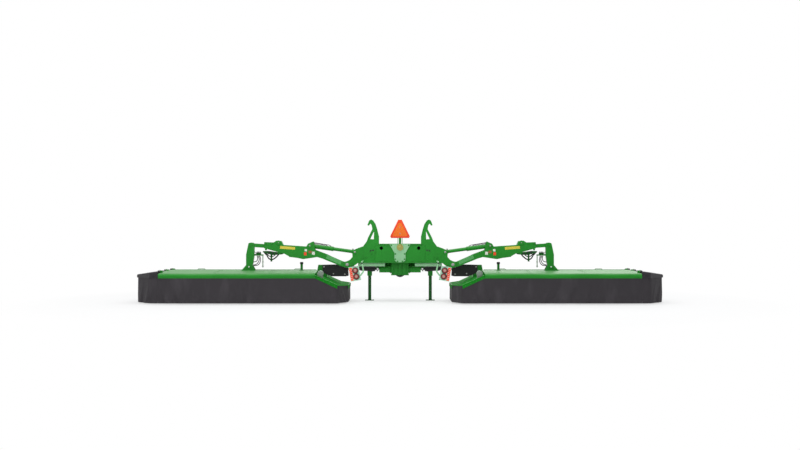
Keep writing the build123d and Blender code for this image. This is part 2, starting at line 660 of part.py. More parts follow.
# ---------------------------------------------------------------- mower unit pieces
def roof():
    """The roof sheet with its rear rail and front rail."""
    inner_z = ROOF_TOP_Z - SHEET
    eave = ROOF_EAVE_Z - SHEET
    profile = [
        (UNIT_REAR_Y, RAIL_LOW_Z), (UNIT_REAR_Y, ROOF_EAVE_Z), (ROOF_FLAT_REAR_Y, ROOF_TOP_Z),
        (ROOF_FLAT_FRONT_Y, ROOF_TOP_Z), (UNIT_FRONT_Y, ROOF_EAVE_Z), (UNIT_FRONT_Y, RAIL_LOW_Z),
        (UNIT_FRONT_Y - RAIL_PLATE, RAIL_LOW_Z), (UNIT_FRONT_Y - RAIL_PLATE, eave),
        (ROOF_FLAT_FRONT_Y, inner_z), (ROOF_FLAT_REAR_Y, inner_z), (UNIT_REAR_Y + RAIL_PLATE, eave),
        (UNIT_REAR_Y + RAIL_PLATE, RAIL_LOW_Z),
    ]
    sheet = slab_yz(profile, ROOF_INNER_X, ROOF_OUTER_X)
    for y in GUARD_HINGE_YS:
        sheet += block(ROOF_OUTER_X - 40, ROOF_OUTER_X, y - 30, y - 10, roof_z(y - 20) - 2,
                       GUARD_HINGE_Z + 6)
        sheet += block(ROOF_OUTER_X - 40, GUARD_HINGE_X, y - 30, y - 10, GUARD_HINGE_Z - 6,
                       GUARD_HINGE_Z + 6)
        sheet += pin_y(GUARD_HINGE_X, GUARD_HINGE_Z, y - 30, y - 10, GUARD_KNUCKLE_RADIUS)
        sheet += pin_y(GUARD_HINGE_X, GUARD_HINGE_Z, y - 30, y + 30, GUARD_PIN_RADIUS)
    return sheet


def roof_z(y):
    """Height of the roof's top surface at y."""
    if y < ROOF_FLAT_REAR_Y:
        share = (y - UNIT_REAR_Y) / (ROOF_FLAT_REAR_Y - UNIT_REAR_Y)
        return ROOF_EAVE_Z + share * (ROOF_TOP_Z - ROOF_EAVE_Z)
    if y > ROOF_FLAT_FRONT_Y:
        share = (UNIT_FRONT_Y - y) / (UNIT_FRONT_Y - ROOF_FLAT_FRONT_Y)
        return ROOF_EAVE_Z + share * (ROOF_TOP_Z - ROOF_EAVE_Z)
    return ROOF_TOP_Z


def unit_plan():
    """Plan outline of the unit's covers, corners cut."""
    return plan_outline(DECK_END_X, GUARD_OUTER_X, CURTAIN_CORNER_X, GUARD_CORNER_X,
                        UNIT_REAR_Y, UNIT_FRONT_Y)


def inner_deck():
    """The sloping deck at the inner end, its end lip and the sloping rear and front bars."""
    profile = [
        (ROOF_INNER_X, ROOF_EAVE_Z), (ROOF_INNER_X - DECK_SHEET, ROOF_EAVE_Z),
        (ROOF_INNER_X - DECK_SHEET, DECK_START_Z), (DECK_KNEE_X, DECK_KNEE_Z),
        (DECK_END_X, DECK_KNEE_Z - 8),
        (DECK_END_X, DECK_LIP_Z), (DECK_END_X + DECK_SHEET, DECK_LIP_Z),
        (DECK_END_X + DECK_SHEET, DECK_KNEE_Z - 8 - DECK_SHEET),
        (DECK_KNEE_X, DECK_KNEE_Z - DECK_SHEET), (ROOF_INNER_X, deck_underside_z(ROOF_INNER_X)),
    ]
    deck = slab_xz(profile, UNIT_REAR_Y, UNIT_FRONT_Y)
    deck = deck & slab_xy(unit_plan(), 200, 700)
    bar_end_z = deck_underside_z(CURTAIN_CORNER_X) + DECK_SHEET
    bar_outline = [
        (ROOF_INNER_X, DECK_START_Z), (CURTAIN_CORNER_X, bar_end_z),
        (CURTAIN_CORNER_X, bar_end_z - DECK_BAR_DEPTH), (ROOF_INNER_X, RAIL_LOW_Z),
    ]
    for low in (UNIT_REAR_Y, UNIT_FRONT_Y - RAIL_PLATE):
        deck += slab_xz(bar_outline, low, low + RAIL_PLATE)
    return deck


def deck_underside_z(x):
    """Height of the sloping deck's underside at x."""
    share = (x - DECK_KNEE_X) / (ROOF_INNER_X - DECK_SHEET - DECK_KNEE_X)
    return DECK_KNEE_Z + share * (DECK_START_Z - DECK_KNEE_Z) - DECK_SHEET


def unit_frame():
    """End plates, main beam, sub-frame, tilt ears with their pin, gearbox and gauge post."""
    roof_under = ROOF_TOP_Z - SHEET
    body = block(ROOF_INNER_X, ROOF_OUTER_X, BEAM_REAR_Y, BEAM_FRONT_Y, BEAM_LOW_Z, roof_under)
    outer_top = RAIL_LOW_Z + 28
    body += block(ROOF_OUTER_X - 80, BAR_OUTER_X, BEAM_REAR_Y, BEAM_FRONT_Y,
                  BEAM_LOW_Z - BEAM_OUTER_DROP, outer_top)
    inner_top = deck_underside_z(BAR_INNER_X)
    for x_low, top in ((BAR_INNER_X, inner_top), (BAR_OUTER_X - END_PLATE, outer_top)):
        side = [
            (END_PLATE_REAR_Y, 150), (END_PLATE_REAR_Y, top), (END_PLATE_FRONT_Y, top),
            (END_PLATE_FRONT_Y, 130), (BAR_FRONT_Y, BAR_LOW_Z), (BAR_REAR_Y, BAR_LOW_Z),
        ]
        plate = slab_yz(side, x_low, x_low + END_PLATE)
        body += plate - bar((x_low - 1, ROTOR_Y, ROTOR_Z), (x_low + END_PLATE + 1, ROTOR_Y, ROTOR_Z),
                            ROTOR_SHAFT_RADIUS + RUN_FIT)
    gusset = [
        (BAR_INNER_X, inner_top - 30), (BAR_INNER_X, inner_top),
        (ROOF_INNER_X, deck_underside_z(ROOF_INNER_X)), (ROOF_INNER_X + 10, BEAM_LOW_Z),
        (ROOF_INNER_X, BEAM_LOW_Z),
    ]
    body += slab_xz(gusset, BEAM_REAR_Y, BEAM_FRONT_Y)
    body += block(EAR_INNER_X, EAR_OUTER_X, ROOF_FLAT_REAR_Y, BEAM_REAR_Y,
                  roof_under - SUBFRAME_DEPTH, roof_under)
    return body


def tilt_ears():
    """The two flared ears on the roof and the pin that the post hangs on."""
    outline = [
        (EAR_INNER_X, ROOF_TOP_Z), (EAR_OUTER_X, ROOF_TOP_Z), (TILT_X + 70, 690),
        (TILT_X + 42, EAR_TOP_Z), (TILT_X - 42, EAR_TOP_Z), (TILT_X - 68, 690),
    ]
    inner = POST_DEPTH / 2 + EAR_GAP
    body = None
    for low in (-inner - EAR_PLATE, inner):
        ear = slab_xz(outline, BOOM_Y + low, BOOM_Y + low + EAR_PLATE)
        body = ear if body is None else body + ear
    body += pin_y(TILT_X, TILT_Z, BOOM_Y - inner - EAR_PLATE - 12, BOOM_Y + inner + EAR_PLATE + 12,
                  TILT_PIN_RADIUS)
    return body


def unit_gearbox():
    """The input gearbox on the inner end, with its stub inside the black plates."""
    half = DRIVE_GUARD_HALF
    outline = [
        (1400, deck_underside_z(1400) + DECK_SHEET + 1), (1400, 700), (1570, 700),
        (1590, ROOF_TOP_Z), (ROOF_INNER_X, ROOF_TOP_Z), (ROOF_INNER_X, ROOF_EAVE_Z),
        (ROOF_INNER_X - DECK_SHEET, ROOF_EAVE_Z), (ROOF_INNER_X - DECK_SHEET, DECK_START_Z + 1),
    ]
    body = slab_xz(outline, DRIVE_Y - half, DRIVE_Y + half)
    return body + bar((1205, DRIVE_Y, DRIVE_UNIT_Z), (1405, DRIVE_Y, DRIVE_UNIT_Z), 30)


def gauge_post():
    """The short upright on the roof."""
    return bar((GAUGE_POST_X, GAUGE_POST_Y, ROOF_TOP_Z),
               (GAUGE_POST_X, GAUGE_POST_Y, GAUGE_POST_TOP_Z), GAUGE_POST_RADIUS)


def cutterbar():
    """The flat bar with a skid shoe under each disc."""
    body = block(BAR_INNER_X + END_PLATE, BAR_OUTER_X - END_PLATE, BAR_REAR_Y, BAR_FRONT_Y,
                 BAR_LOW_Z, BAR_TOP_Z)
    shoe = [
        (SKID_REAR_Y, 0), (BAR_FRONT_Y - 30, 0), (BAR_FRONT_Y + 45, BAR_LOW_Z + 12),
        (BAR_FRONT_Y + 45, BAR_TOP_Z - 40), (BAR_FRONT_Y, BAR_TOP_Z - 30), (BAR_FRONT_Y, BAR_LOW_Z),
        (BAR_REAR_Y, BAR_LOW_Z), (BAR_REAR_Y - 20, SKID_THICK), (SKID_REAR_Y, SKID_THICK),
    ]
    for index in range(DISC_COUNT):
        centre = DISC_FIRST_X + index * DISC_PITCH
        body += slab_yz(shoe, centre - SKID_WIDTH / 2, centre + SKID_WIDTH / 2)
    return body


def disc(index):
    """One mowing disc: hub, oval plate, two knives and a cap, taller at the bar's two ends."""
    centre = DISC_FIRST_X + index * DISC_PITCH
    hub = Pos(0, 0, (BAR_TOP_Z + 0.4 + DISC_LOW_Z) / 2) * Cylinder(
        DISC_HUB_RADIUS, DISC_LOW_Z - BAR_TOP_Z - 0.4)
    plate = extrude(Pos(0, 0, DISC_LOW_Z) * Ellipse(DISC_HALF_LONG, DISC_HALF_SHORT), DISC_THICK)
    knives = Pos(0, 0, DISC_LOW_Z + KNIFE_THICK / 2) * Box(
        2 * KNIFE_TIP_RADIUS, KNIFE_WIDTH, KNIFE_THICK)
    top = HAT_TOP_Z if index in (0, DISC_COUNT - 1) else DISC_CAP_TOP_Z
    radius = HAT_RADIUS if index in (0, DISC_COUNT - 1) else DISC_HUB_RADIUS + 15
    low = DISC_LOW_Z + DISC_THICK
    cap = Pos(0, 0, (low + top) / 2) * Cone(radius, radius * 0.8, top - low)
    turn = 90 * (index % 2)
    return Pos(centre, DISC_Y, 0) * Rot(0, 0, turn) * (hub + plate + knives + cap)


def rotor():
    """The conditioner rotor: drum, through shaft and staggered rows of tines."""
    body = bar((BAR_INNER_X, ROTOR_Y, ROTOR_Z), (BAR_OUTER_X, ROTOR_Y, ROTOR_Z),
               ROTOR_SHAFT_RADIUS)
    body += bar((ROTOR_INNER_X, ROTOR_Y, ROTOR_Z), (ROTOR_OUTER_X, ROTOR_Y, ROTOR_Z),
                ROTOR_DRUM_RADIUS)
    tines = []
    step = (ROTOR_OUTER_X - ROTOR_INNER_X) / TINES_PER_ROW
    length = ROTOR_TIP_RADIUS - ROTOR_DRUM_RADIUS + 15
    for row in range(TINE_ROWS):
        shift = (row % 2) * 0.5 + 0.25
        for place in range(TINES_PER_ROW):
            x = ROTOR_INNER_X + (place + shift) * step
            tine = Pos(0, 0, ROTOR_TIP_RADIUS - length / 2) * Box(TINE_WIDTH, TINE_THICK, length)
            turn = Rot(row * 360 / TINE_ROWS + 20, 0, 0)
            tines.append(Pos(x, ROTOR_Y, ROTOR_Z) * turn * tine)
    return body + tines


# ---------------------------------------------------------------- curtains and outer guard
def curtains():
    """Rear, front and inner curtains of one unit, hanging inside the rails."""
    hung = RAIL_PLATE + CURTAIN_GAP
    rear_y, front_y = UNIT_REAR_Y + hung, UNIT_FRONT_Y - hung
    edge = [
        (CURTAIN_CORNER_X, CURTAIN_LOW_Z), (ROOF_OUTER_X - 2, CURTAIN_LOW_Z),
        (ROOF_OUTER_X - 2, CURTAIN_TOP_Z), (ROOF_INNER_X, CURTAIN_TOP_Z),
        (ROOF_INNER_X, deck_underside_z(ROOF_INNER_X) - 6),
        (CURTAIN_CORNER_X, deck_underside_z(CURTAIN_CORNER_X) - 6),
    ]
    rear = slab_xz(edge, rear_y, rear_y + CURTAIN)
    front = slab_xz(edge, front_y - CURTAIN, front_y)
    inner_x = DECK_END_X + DECK_SHEET + CURTAIN_GAP
    corner_x = CURTAIN_CORNER_X - 0.3
    start, end = rear_y + REAR_CORNER_RUN, front_y - FRONT_CORNER_RUN
    slant = CURTAIN * 2.6
    top = DECK_KNEE_Z - 8 - DECK_SHEET - 0.3
    plans = [
        [(corner_x, rear_y + 2), (inner_x, start), (inner_x + CURTAIN, start + 1),
         (corner_x, rear_y + 2 + slant)],
        [(inner_x, start), (inner_x, end), (inner_x + CURTAIN, end - 1),
         (inner_x + CURTAIN, start + 1)],
        [(inner_x, end), (corner_x, front_y - 2), (corner_x, front_y - 2 - slant),
         (inner_x + CURTAIN, end - 1)],
    ]
    inner = [slab_xy(plan, CURTAIN_LOW_Z, top) for plan in plans]
    return [rear, front] + inner


def guard_cap():
    """The hinged cover at the outer end, with its rims and hinge knuckles."""
    sheet = GUARD_SHEET
    top_in = ROOF_TOP_Z - 2
    profile = [
        (GUARD_INNER_X, top_in), (GUARD_OUTER_X, GUARD_OUTER_Z), (GUARD_OUTER_X, RAIL_LOW_Z),
        (GUARD_OUTER_X - sheet, RAIL_LOW_Z), (GUARD_OUTER_X - sheet, GUARD_OUTER_Z - sheet),
        (GUARD_INNER_X, top_in - sheet),
    ]
    filled = [
        (GUARD_INNER_X, top_in), (GUARD_OUTER_X, GUARD_OUTER_Z), (GUARD_OUTER_X, RAIL_LOW_Z),
        (GUARD_INNER_X, RAIL_LOW_Z),
    ]
    rim = slab_xz(filled, UNIT_REAR_Y, UNIT_FRONT_Y)
    outer = slab_xy(unit_plan(), 300, 700)
    inset = [(x - sheet if x > GUARD_CORNER_X else x, y + sheet * (1 if y < 0 else -1))
             for x, y in unit_plan()]
    cavity = slab_xz([
        (GUARD_INNER_X - 1, top_in - sheet), (GUARD_OUTER_X - sheet, GUARD_OUTER_Z - sheet),
        (GUARD_OUTER_X - sheet, RAIL_LOW_Z - 1), (GUARD_INNER_X - 1, RAIL_LOW_Z - 1),
    ], UNIT_REAR_Y, UNIT_FRONT_Y) & slab_xy(inset, 300, 700)
    cap = (rim & outer) - cavity
    for y in GUARD_HINGE_YS:
        knuckle = pin_y(GUARD_HINGE_X, GUARD_HINGE_Z, y - 9.5, y + 10, GUARD_KNUCKLE_RADIUS)
        knuckle += block(GUARD_HINGE_X, GUARD_HINGE_X + 40, y - 9.5, y + 10, top_in - 14,
                         GUARD_HINGE_Z + 4)
        knuckle -= pin_y(GUARD_HINGE_X, GUARD_HINGE_Z, y - 12, y + 12, GUARD_PIN_RADIUS + RUN_FIT)
        cap += knuckle
    return cap


def guard_curtain():
    """The curtain that hangs from the outer guard, in one bent sheet."""
    gap = GUARD_SHEET + CURTAIN_GAP
    rear_y, front_y = UNIT_REAR_Y + gap, UNIT_FRONT_Y - gap
    outer_x = GUARD_OUTER_X - gap
    thick = CURTAIN
    start, end = rear_y + REAR_CORNER_RUN, front_y - FRONT_CORNER_RUN
    outline = [
        (ROOF_OUTER_X + 8, rear_y), (GUARD_CORNER_X - 5, rear_y), (outer_x, start), (outer_x, end),
        (GUARD_CORNER_X - 5, front_y), (ROOF_OUTER_X + 8, front_y),
        (ROOF_OUTER_X + 8, front_y - thick), (GUARD_CORNER_X - 7, front_y - thick),
        (outer_x - thick, end - 2), (outer_x - thick, start + 2), (GUARD_CORNER_X - 7, rear_y + thick),
        (ROOF_OUTER_X + 8, rear_y + thick),
    ]
    return slab_xy(outline, CURTAIN_LOW_Z, GUARD_OUTER_Z - GUARD_SHEET - 12)


# ---------------------------------------------------------------- one STEP file a node
def gather(shape):
    """One compound of the solids in a shape or a list of shapes."""
    if isinstance(shape, list):
        return Compound([solid for item in shape for solid in item.solids()])
    return shape


CENTRE = {
    "hitch_frame": hitch_frame(),
    "hook_plates": hook_plates() + [mirror(item, about=Plane.YZ) for item in hook_plates()],
    "centre_tubes": cross_tubes() + [light_bracket(-1), light_bracket(1)],
    "centre_cover": centre_cover(),
    "centre_gearbox": centre_gearbox(),
    "light_panels": [panel_plate(-1), panel_plate(1)],
    "lamps": panel_lamps(-1) + panel_lamps(1),
    "slow_sign": slow_sign(),
}

SIDE = {
    "stand": stand(),
    "boom": boom(),
    "boom_valve": boom_valve(),
    "slide_post": slide_post(),
    "post_hoses": post_hoses(),
    "lift_barrel": lift_barrel(),
    "lift_rod": lift_rod(),
    "drive_sleeve": drive_sleeve(),
    "drive_shaft": drive_shaft(),
    "drive_guard": drive_guard(),
    "roof": roof(),
    "inner_deck": inner_deck(),
    "unit_frame": [unit_frame(), tilt_ears(), unit_gearbox(), gauge_post()],
    "cutterbar": cutterbar(),
    "curtains": curtains(),
    "guard_cap": guard_cap(),
    "guard_curtain": guard_curtain(),
    "rotor": rotor(),
}
for number in range(DISC_COUNT):
    SIDE[f"disc_{number + 1}"] = disc(number)

os.makedirs("parts", exist_ok=True)
for name, shape in CENTRE.items():
    export_step(gather(shape), f"parts/{name}.step")
for name, shape in SIDE.items():
    right = gather(shape)
    export_step(right, f"parts/{name}_right.step")
    export_step(mirror(right, about=Plane.YZ), f"parts/{name}_left.step")
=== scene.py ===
"""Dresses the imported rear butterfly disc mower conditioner: paint, curtains, guards, lamps, hoses.

Metres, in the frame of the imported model: +X right, +Y the direction of travel, +Z up.
"""
import json
import math

import bpy
import numpy as np
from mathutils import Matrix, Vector


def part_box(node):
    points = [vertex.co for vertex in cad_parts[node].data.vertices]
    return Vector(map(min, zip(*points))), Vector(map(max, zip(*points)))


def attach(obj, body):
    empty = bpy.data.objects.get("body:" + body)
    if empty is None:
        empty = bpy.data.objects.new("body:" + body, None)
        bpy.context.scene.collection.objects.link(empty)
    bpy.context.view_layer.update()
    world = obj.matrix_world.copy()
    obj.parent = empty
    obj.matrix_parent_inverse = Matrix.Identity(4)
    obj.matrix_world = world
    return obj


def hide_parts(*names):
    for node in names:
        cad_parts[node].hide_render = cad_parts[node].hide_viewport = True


bl_info = {
    "name": "Butterfly disc mower conditioner",
    "version": (1, 0, 0),
    "blender": (4, 5, 0),
    "location": "View3D > Sidebar > Mower",
    "description": "Builds the looks of a folding double disc mower conditioner around its frame",
    "category": "Object",
}

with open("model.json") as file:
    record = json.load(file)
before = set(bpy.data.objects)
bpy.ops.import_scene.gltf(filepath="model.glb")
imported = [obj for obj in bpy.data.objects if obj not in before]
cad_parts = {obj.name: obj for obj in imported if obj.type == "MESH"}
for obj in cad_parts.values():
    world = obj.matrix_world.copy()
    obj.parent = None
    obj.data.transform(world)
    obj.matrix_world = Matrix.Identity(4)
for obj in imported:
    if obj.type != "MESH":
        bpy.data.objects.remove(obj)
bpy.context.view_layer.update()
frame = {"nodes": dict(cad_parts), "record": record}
SIDES = (("right", 1.0), ("left", -1.0))
FRAME_SHARP, PIECE_SHARP = math.radians(32.0), math.radians(34.0)  # steeper edges stay sharp


def low(node):
    """The lowest corner of a frame node, as an array."""
    return np.array(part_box(node)[0])


def high(node):
    """The highest corner of a frame node, as an array."""
    return np.array(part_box(node)[1])


# Places of the frame that the pieces are fitted to, on the right side.
REAR_Y, FRONT_Y = low("roof_right")[1], high("roof_right")[1]
RIDGE_REAR_Y, RIDGE_FRONT_Y, RIDGE_Z = -0.4, 0.2, 0.597
ROOF_LINE = ((REAR_Y, 0.562), (RIDGE_REAR_Y, RIDGE_Z), (RIDGE_FRONT_Y, RIDGE_Z), (FRONT_Y, 0.562))
ROOF_INNER_X, ROOF_OUTER_X = 1.56, 4.44
DECK_LINE = ((0.965, 0.337), (1.13, 0.345), (1.552, 0.532))
DECK_CORNER_X, REAR_TURN, FRONT_TURN = 1.15, 0.44, 0.22  # the slanted corners, in X and Y
GUARD_INNER_X = 4.445
BOOM_Y, BOOM_REAR_Y = -0.25, -0.33
BOX_FRONT_Y = 0.3
PLATE_REAR_Y = low("hook_plates")[1] + 0.014
FOLD_PIN, LIFT_PIN = (1.0, 0.715), (0.855, 0.953)
ROD_PIN, TILT_PIN = (1.71, 1.07), (2.86, 0.67)
LIFT_ANGLE, DRIVE_BASE, DRIVE_ANGLE = 7.79, (0.43, 0.05, 0.62), 2.25
STUB_Z = 0.56


def roof_z(y):
    """Height of the roof's top at y."""
    return np.interp(y, *np.transpose(ROOF_LINE))


def deck_z(x):
    """Height of the inner deck's top at x."""
    return np.interp(x, *np.transpose(DECK_LINE))


# ---------------------------------------------------------------- user's sizes and colours
class MowerSizes(bpy.types.PropertyGroup):
    """Sizes that a user may change before the pieces are made."""

    fold_pitch: bpy.props.FloatProperty(
        name="Fold pitch", description="Distance between the curtains' soft folds",
        default=0.31, min=0.1, max=1.0, unit="LENGTH")
    fold_depth: bpy.props.FloatProperty(
        name="Fold depth", description="How far a curtain's folds leave its plane at the hem",
        default=0.016, min=0.0, max=0.03, unit="LENGTH")
    curtain_thickness: bpy.props.FloatProperty(
        name="Curtain thickness", description="Thickness of the coated curtain fabric",
        default=0.003, min=0.001, max=0.006, unit="LENGTH")
    bolt_width: bpy.props.FloatProperty(
        name="Bolt width", description="Width across flats of the rail's bolt heads",
        default=0.013, min=0.008, max=0.03, unit="LENGTH")
    bolt_pitch: bpy.props.FloatProperty(
        name="Bolt pitch", description="Distance between the bolts along the rails",
        default=0.24, min=0.1, max=1.0, unit="LENGTH")


COLOUR = {"subtype": "COLOR", "size": 3, "min": 0.0, "max": 1.0}


class MowerColours(bpy.types.PropertyGroup):
    """Colours of the machine's finishes."""

    green: bpy.props.FloatVectorProperty(
        name="Green", description="Paint of the frames and covers",
        default=(0.014, 0.235, 0.018), **COLOUR)
    pale_green: bpy.props.FloatVectorProperty(
        name="Pale green", description="Lighter paint of the tubes and the centre cover",
        default=(0.28, 0.55, 0.3), **COLOUR)
    dark_green: bpy.props.FloatVectorProperty(
        name="Dark green", description="Paint of the valve block and the stands",
        default=(0.006, 0.09, 0.012), **COLOUR)
    charcoal: bpy.props.FloatVectorProperty(
        name="Charcoal", description="Coated fabric of the curtains",
        default=(0.04, 0.036, 0.04), **COLOUR)
    black: bpy.props.FloatVectorProperty(
        name="Black", description="Moulded guards and hoses",
        default=(0.028, 0.026, 0.029), **COLOUR)
    steel: bpy.props.FloatVectorProperty(
        name="Steel", description="Worn bare steel of the discs and tines",
        default=(0.15, 0.15, 0.155), **COLOUR)
    orange: bpy.props.FloatVectorProperty(
        name="Orange", description="Middle of the warning triangle",
        default=(1.0, 0.18, 0.015), **COLOUR)
    red: bpy.props.FloatVectorProperty(
        name="Red", description="Border of the triangle, sheets of the lamp boards",
        default=(0.92, 0.07, 0.02), **COLOUR)


# ---------------------------------------------------------------- shader maths
class Signal:
    """A shader socket whose Python arithmetic adds Math nodes."""

    def __init__(self, nodes, socket):
        self.nodes = nodes
        self.socket = socket

    def __add__(self, other):
        return self.nodes.maths("ADD", self, other)

    def __mul__(self, other):
        return self.nodes.maths("MULTIPLY", self, other)

    def __sub__(self, other):
        return self.nodes.maths("SUBTRACT", self, other)

    def __rsub__(self, other):
        return self.nodes.maths("SUBTRACT", other, self)

    __radd__, __rmul__ = __add__, __mul__

    def clamped(self):
        """This value held between 0 and 1."""
        return self.nodes.out(self.nodes.node("ShaderNodeClamp", {}, {"Value": self}), "Result")


class Nodes:
    """A node tree that is written as expressions."""

    def __init__(self, tree):
        self.tree = tree

    def node(self, kind, settings=None, values=None):
        """Adds a node, sets its settings first, such as a ramp's stops, and then its sockets."""
        made = self.tree.nodes.new(kind)
        for name, value in (settings or {}).items():
            if name == "stops":
                for element, (at, shade) in zip(made.color_ramp.elements, value):
                    element.position = at
                    element.color = (*shade, 1.0)
            else:
                setattr(made, name, value)
        for name, value in (values or {}).items():
            self.feed(made.inputs[name], value)
        return made

    def feed(self, socket, value):
        """Links a signal into a socket, or sets the socket's own value."""
        if isinstance(value, Signal):
            self.tree.links.new(value.socket, socket)
        elif socket.type == "RGBA" and len(value) == 3:
            socket.default_value = (*value, 1.0)
        else:
            socket.default_value = value

    def out(self, node, name=0):
        """One output of a node as a signal."""
        return Signal(self, node.outputs[name])

    def maths(self, operation, first, second=0.0):
        """A Math node."""
        return self.out(self.node("ShaderNodeMath", {"operation": operation},
                                  {0: first, 1: second}))

    def background_rays(self, rays):
        """1 for the rays that see the background itself: camera, glossy and transmission."""
        return self.maths("MAXIMUM", self.out(rays, "Is Camera Ray"),
                          self.maths("MAXIMUM", self.out(rays, "Is Glossy Ray"),
                                     self.out(rays, "Is Transmission Ray")))

    def mix_shaders(self, share, first, second):
        """Mixes two shaders by a value."""
        return self.out(self.node("ShaderNodeMixShader", {}, {0: share, 1: first, 2: second}))


class Recipe(Nodes):
    """One material's node tree, with its Principled shader."""

    def __init__(self, name, colour, roughness, metallic=0.0, **fixed):
        self.material = bpy.data.materials.new(name)
        self.material.use_nodes = True
        super().__init__(self.material.node_tree)
        self.shader = self.tree.nodes["Principled BSDF"]
        self.set("Base Color", colour)
        self.set("Roughness", roughness)
        self.set("Metallic", metallic)
        for socket, value in fixed.items():
            self.set(socket.replace("_", " "), value)
        coordinates = self.node("ShaderNodeTexCoord")
        self.place = self.out(coordinates, "Object")
        self.facing = self.out(coordinates, "Normal")

    def set(self, socket, value):
        """Sets or links one of the Principled shader's sockets."""
        self.feed(self.shader.inputs[socket], value)

    def axis(self, name):
        """One coordinate of the object's own place: X, Y or Z."""
        return self.out(self.node("ShaderNodeSeparateXYZ", {}, {0: self.place}), name)

    def upward(self):
        """How far the surface faces up, from -1 to 1."""
        return self.out(self.node("ShaderNodeSeparateXYZ", {}, {0: self.facing}), "Z")

    def noise(self, scale, detail, rough=0.5, stretch=(1.0, 1.0, 1.0), lean=0.0):
        """Noise from 0 to 1 on the object's own place, leant about Y by radians."""
        where = self.node("ShaderNodeMapping", {}, {
            "Vector": self.place, "Scale": stretch, "Rotation": (0.0, lean, 0.0)})
        return self.out(self.node("ShaderNodeTexNoise", {}, {
            "Vector": self.out(where), "Scale": scale, "Detail": detail, "Roughness": rough}))

    def ramp(self, signal, *stops):
        """A colour ramp of two stops over a value."""
        return self.out(self.node("ShaderNodeValToRGB", {"stops": stops}, {"Fac": signal}))

    def blend(self, share, first, second):
        """Mixes two colours by a value."""
        made = self.node("ShaderNodeMix", {"data_type": "RGBA"}, {0: share, 6: first, 7: second})
        return self.out(made, 2)

    def bump(self, height, distance, strength):
        """Feeds a height in metres times distance to the shader's normal."""
        self.set("Normal", self.out(self.node("ShaderNodeBump", {}, {
            "Height": height, "Distance": distance, "Strength": strength})))


def tone(colour, factor):
    """A colour made lighter or darker."""
    return tuple(min(1.0, channel * factor) for channel in colour)


DUST, RUST = (0.5, 0.52, 0.45), (0.16, 0.065, 0.03)


def paint(name, colour, roughness=0.34, dust=0.1, sheen=1.0):
    """Sprayed paint: orange peel, slight fading in patches, and dust on faces that look up."""
    mix = Recipe(name, colour, roughness, Coat_Weight=0.04 * sheen, Coat_Roughness=0.2,
                 Specular_IOR_Level=0.16 * sheen)
    patches = mix.noise(1.7, 4.0, 0.55)
    fine = mix.noise(34.0, 2.0)
    shade = mix.ramp(patches, (0.3, tone(colour, 0.9)), (0.72, tone(colour, 1.11)))
    dusty = ((mix.upward() * 0.7 + patches * 0.7 - 0.55) * dust * 3.0).clamped()
    mix.set("Base Color", mix.blend(dusty, shade, DUST))
    mix.set("Roughness", roughness + fine * 0.1 + dusty * 0.5)
    mix.bump(mix.noise(260.0, 1.0), 0.0004, 0.35)
    return mix.material


def fabric(name, colour):
    """Coated curtain fabric: a fine crossed weave, scuffs towards the hem, and soft lighter streaks
    painted as highlights on the folds.
    """
    mix = Recipe(name, colour, 0.62, Specular_IOR_Level=0.12)
    streaks = mix.noise(4.6, 2.0, 0.5, (1.0, 1.0, 0.3), 0.5)
    height = mix.axis("Z")
    scuffs = (mix.noise(9.0, 5.0, 0.65) - 0.45) * (0.3 - height) * 3.0
    # Lighter diagonal streaks: painted highlights, standing in for light caught by the curtains'
    # folds.
    painted_crease_highlights = ((streaks - 0.53) * 3.4).clamped() * (mix.noise(1.3, 1.0) - 0.3)
    scuffs_and_painted_highlights = (scuffs.clamped() * 0.6 + painted_crease_highlights * 1.3).clamped()
    mix.set("Base Color", mix.blend(scuffs_and_painted_highlights, colour, tone(colour, 2.6)))
    mix.set("Roughness", 0.55 + streaks * 0.18)
    threads = 1400.0
    across = mix.maths("SINE", (mix.axis("X") + mix.axis("Y")) * threads)
    along = mix.maths("SINE", height * threads)
    mix.bump(across * along * 0.5 + mix.noise(40.0, 2.0) * 1.5, 0.0006, 0.4)
    return mix.material


def plastic(name, colour, grain=0.5, lightening=4.5):
    """Moulded plastic with a fine grain and top faces lightened in patches: sun fade, made strong
    enough on the guard caps to be a painted highlight.
    """
    mix = Recipe(name, colour, 0.5, Specular_IOR_Level=0.16)
    top_patches = mix.noise(3.0, 4.0, 0.6)
    share = ((mix.upward() - 0.3) * 0.9 * top_patches).clamped()
    mix.set("Base Color", mix.blend(share, colour, tone(colour, lightening)))
    mix.set("Roughness", 0.42 + top_patches * 0.2)
    mix.bump(mix.noise(420.0, 2.0), 0.0005, grain)
    return mix.material


def metal(name, colour, roughness, rust):
    """Bare steel: scratches along X, with rust in patches."""
    mix = Recipe(name, colour, roughness, 0.85)
    scratch = mix.noise(30.0, 4.0, 0.6, (0.08, 1.0, 1.0))
    patches = mix.noise(7.0, 5.0, 0.65)
    rusty = ((patches - 0.52) * 5.0 * rust).clamped()
    bare = mix.blend(scratch, tone(colour, 0.75), tone(colour, 1.25))
    mix.set("Base Color", mix.blend(rusty, bare, RUST))
    mix.set("Metallic", 0.9 - rusty * 0.8)
    mix.set("Roughness", roughness + scratch * 0.15 + rusty * 0.3)
    mix.bump(scratch, 0.0006, 0.3)
    return mix.material


def glossy(name, colour, roughness):
    """A smooth part, such as a lens or a cap, with a faint ripple."""
    mix = Recipe(name, colour, roughness, Coat_Weight=0.1, Specular_IOR_Level=0.3)
    haze = mix.noise(60.0, 2.0)
    mix.set("Roughness", roughness + haze * 0.12)
    mix.bump(haze, 0.0004, 0.25)
    return mix.material


def sheeting(name, colour):
    """Reflective sheeting: fine beads under a clear face."""
    mix = Recipe(name, colour, 0.32, Specular_IOR_Level=0.2)
    cells = mix.node("ShaderNodeTexVoronoi", {}, {"Vector": mix.place, "Scale": 260.0})
    near = mix.out(cells, "Distance")
    mix.set("Base Color", mix.blend(near * 0.6, tone(colour, 1.08), tone(colour, 0.82)))
    mix.bump(near, 0.0004, 0.3)
    return mix.material


FINISH, SLOT = {}, {}


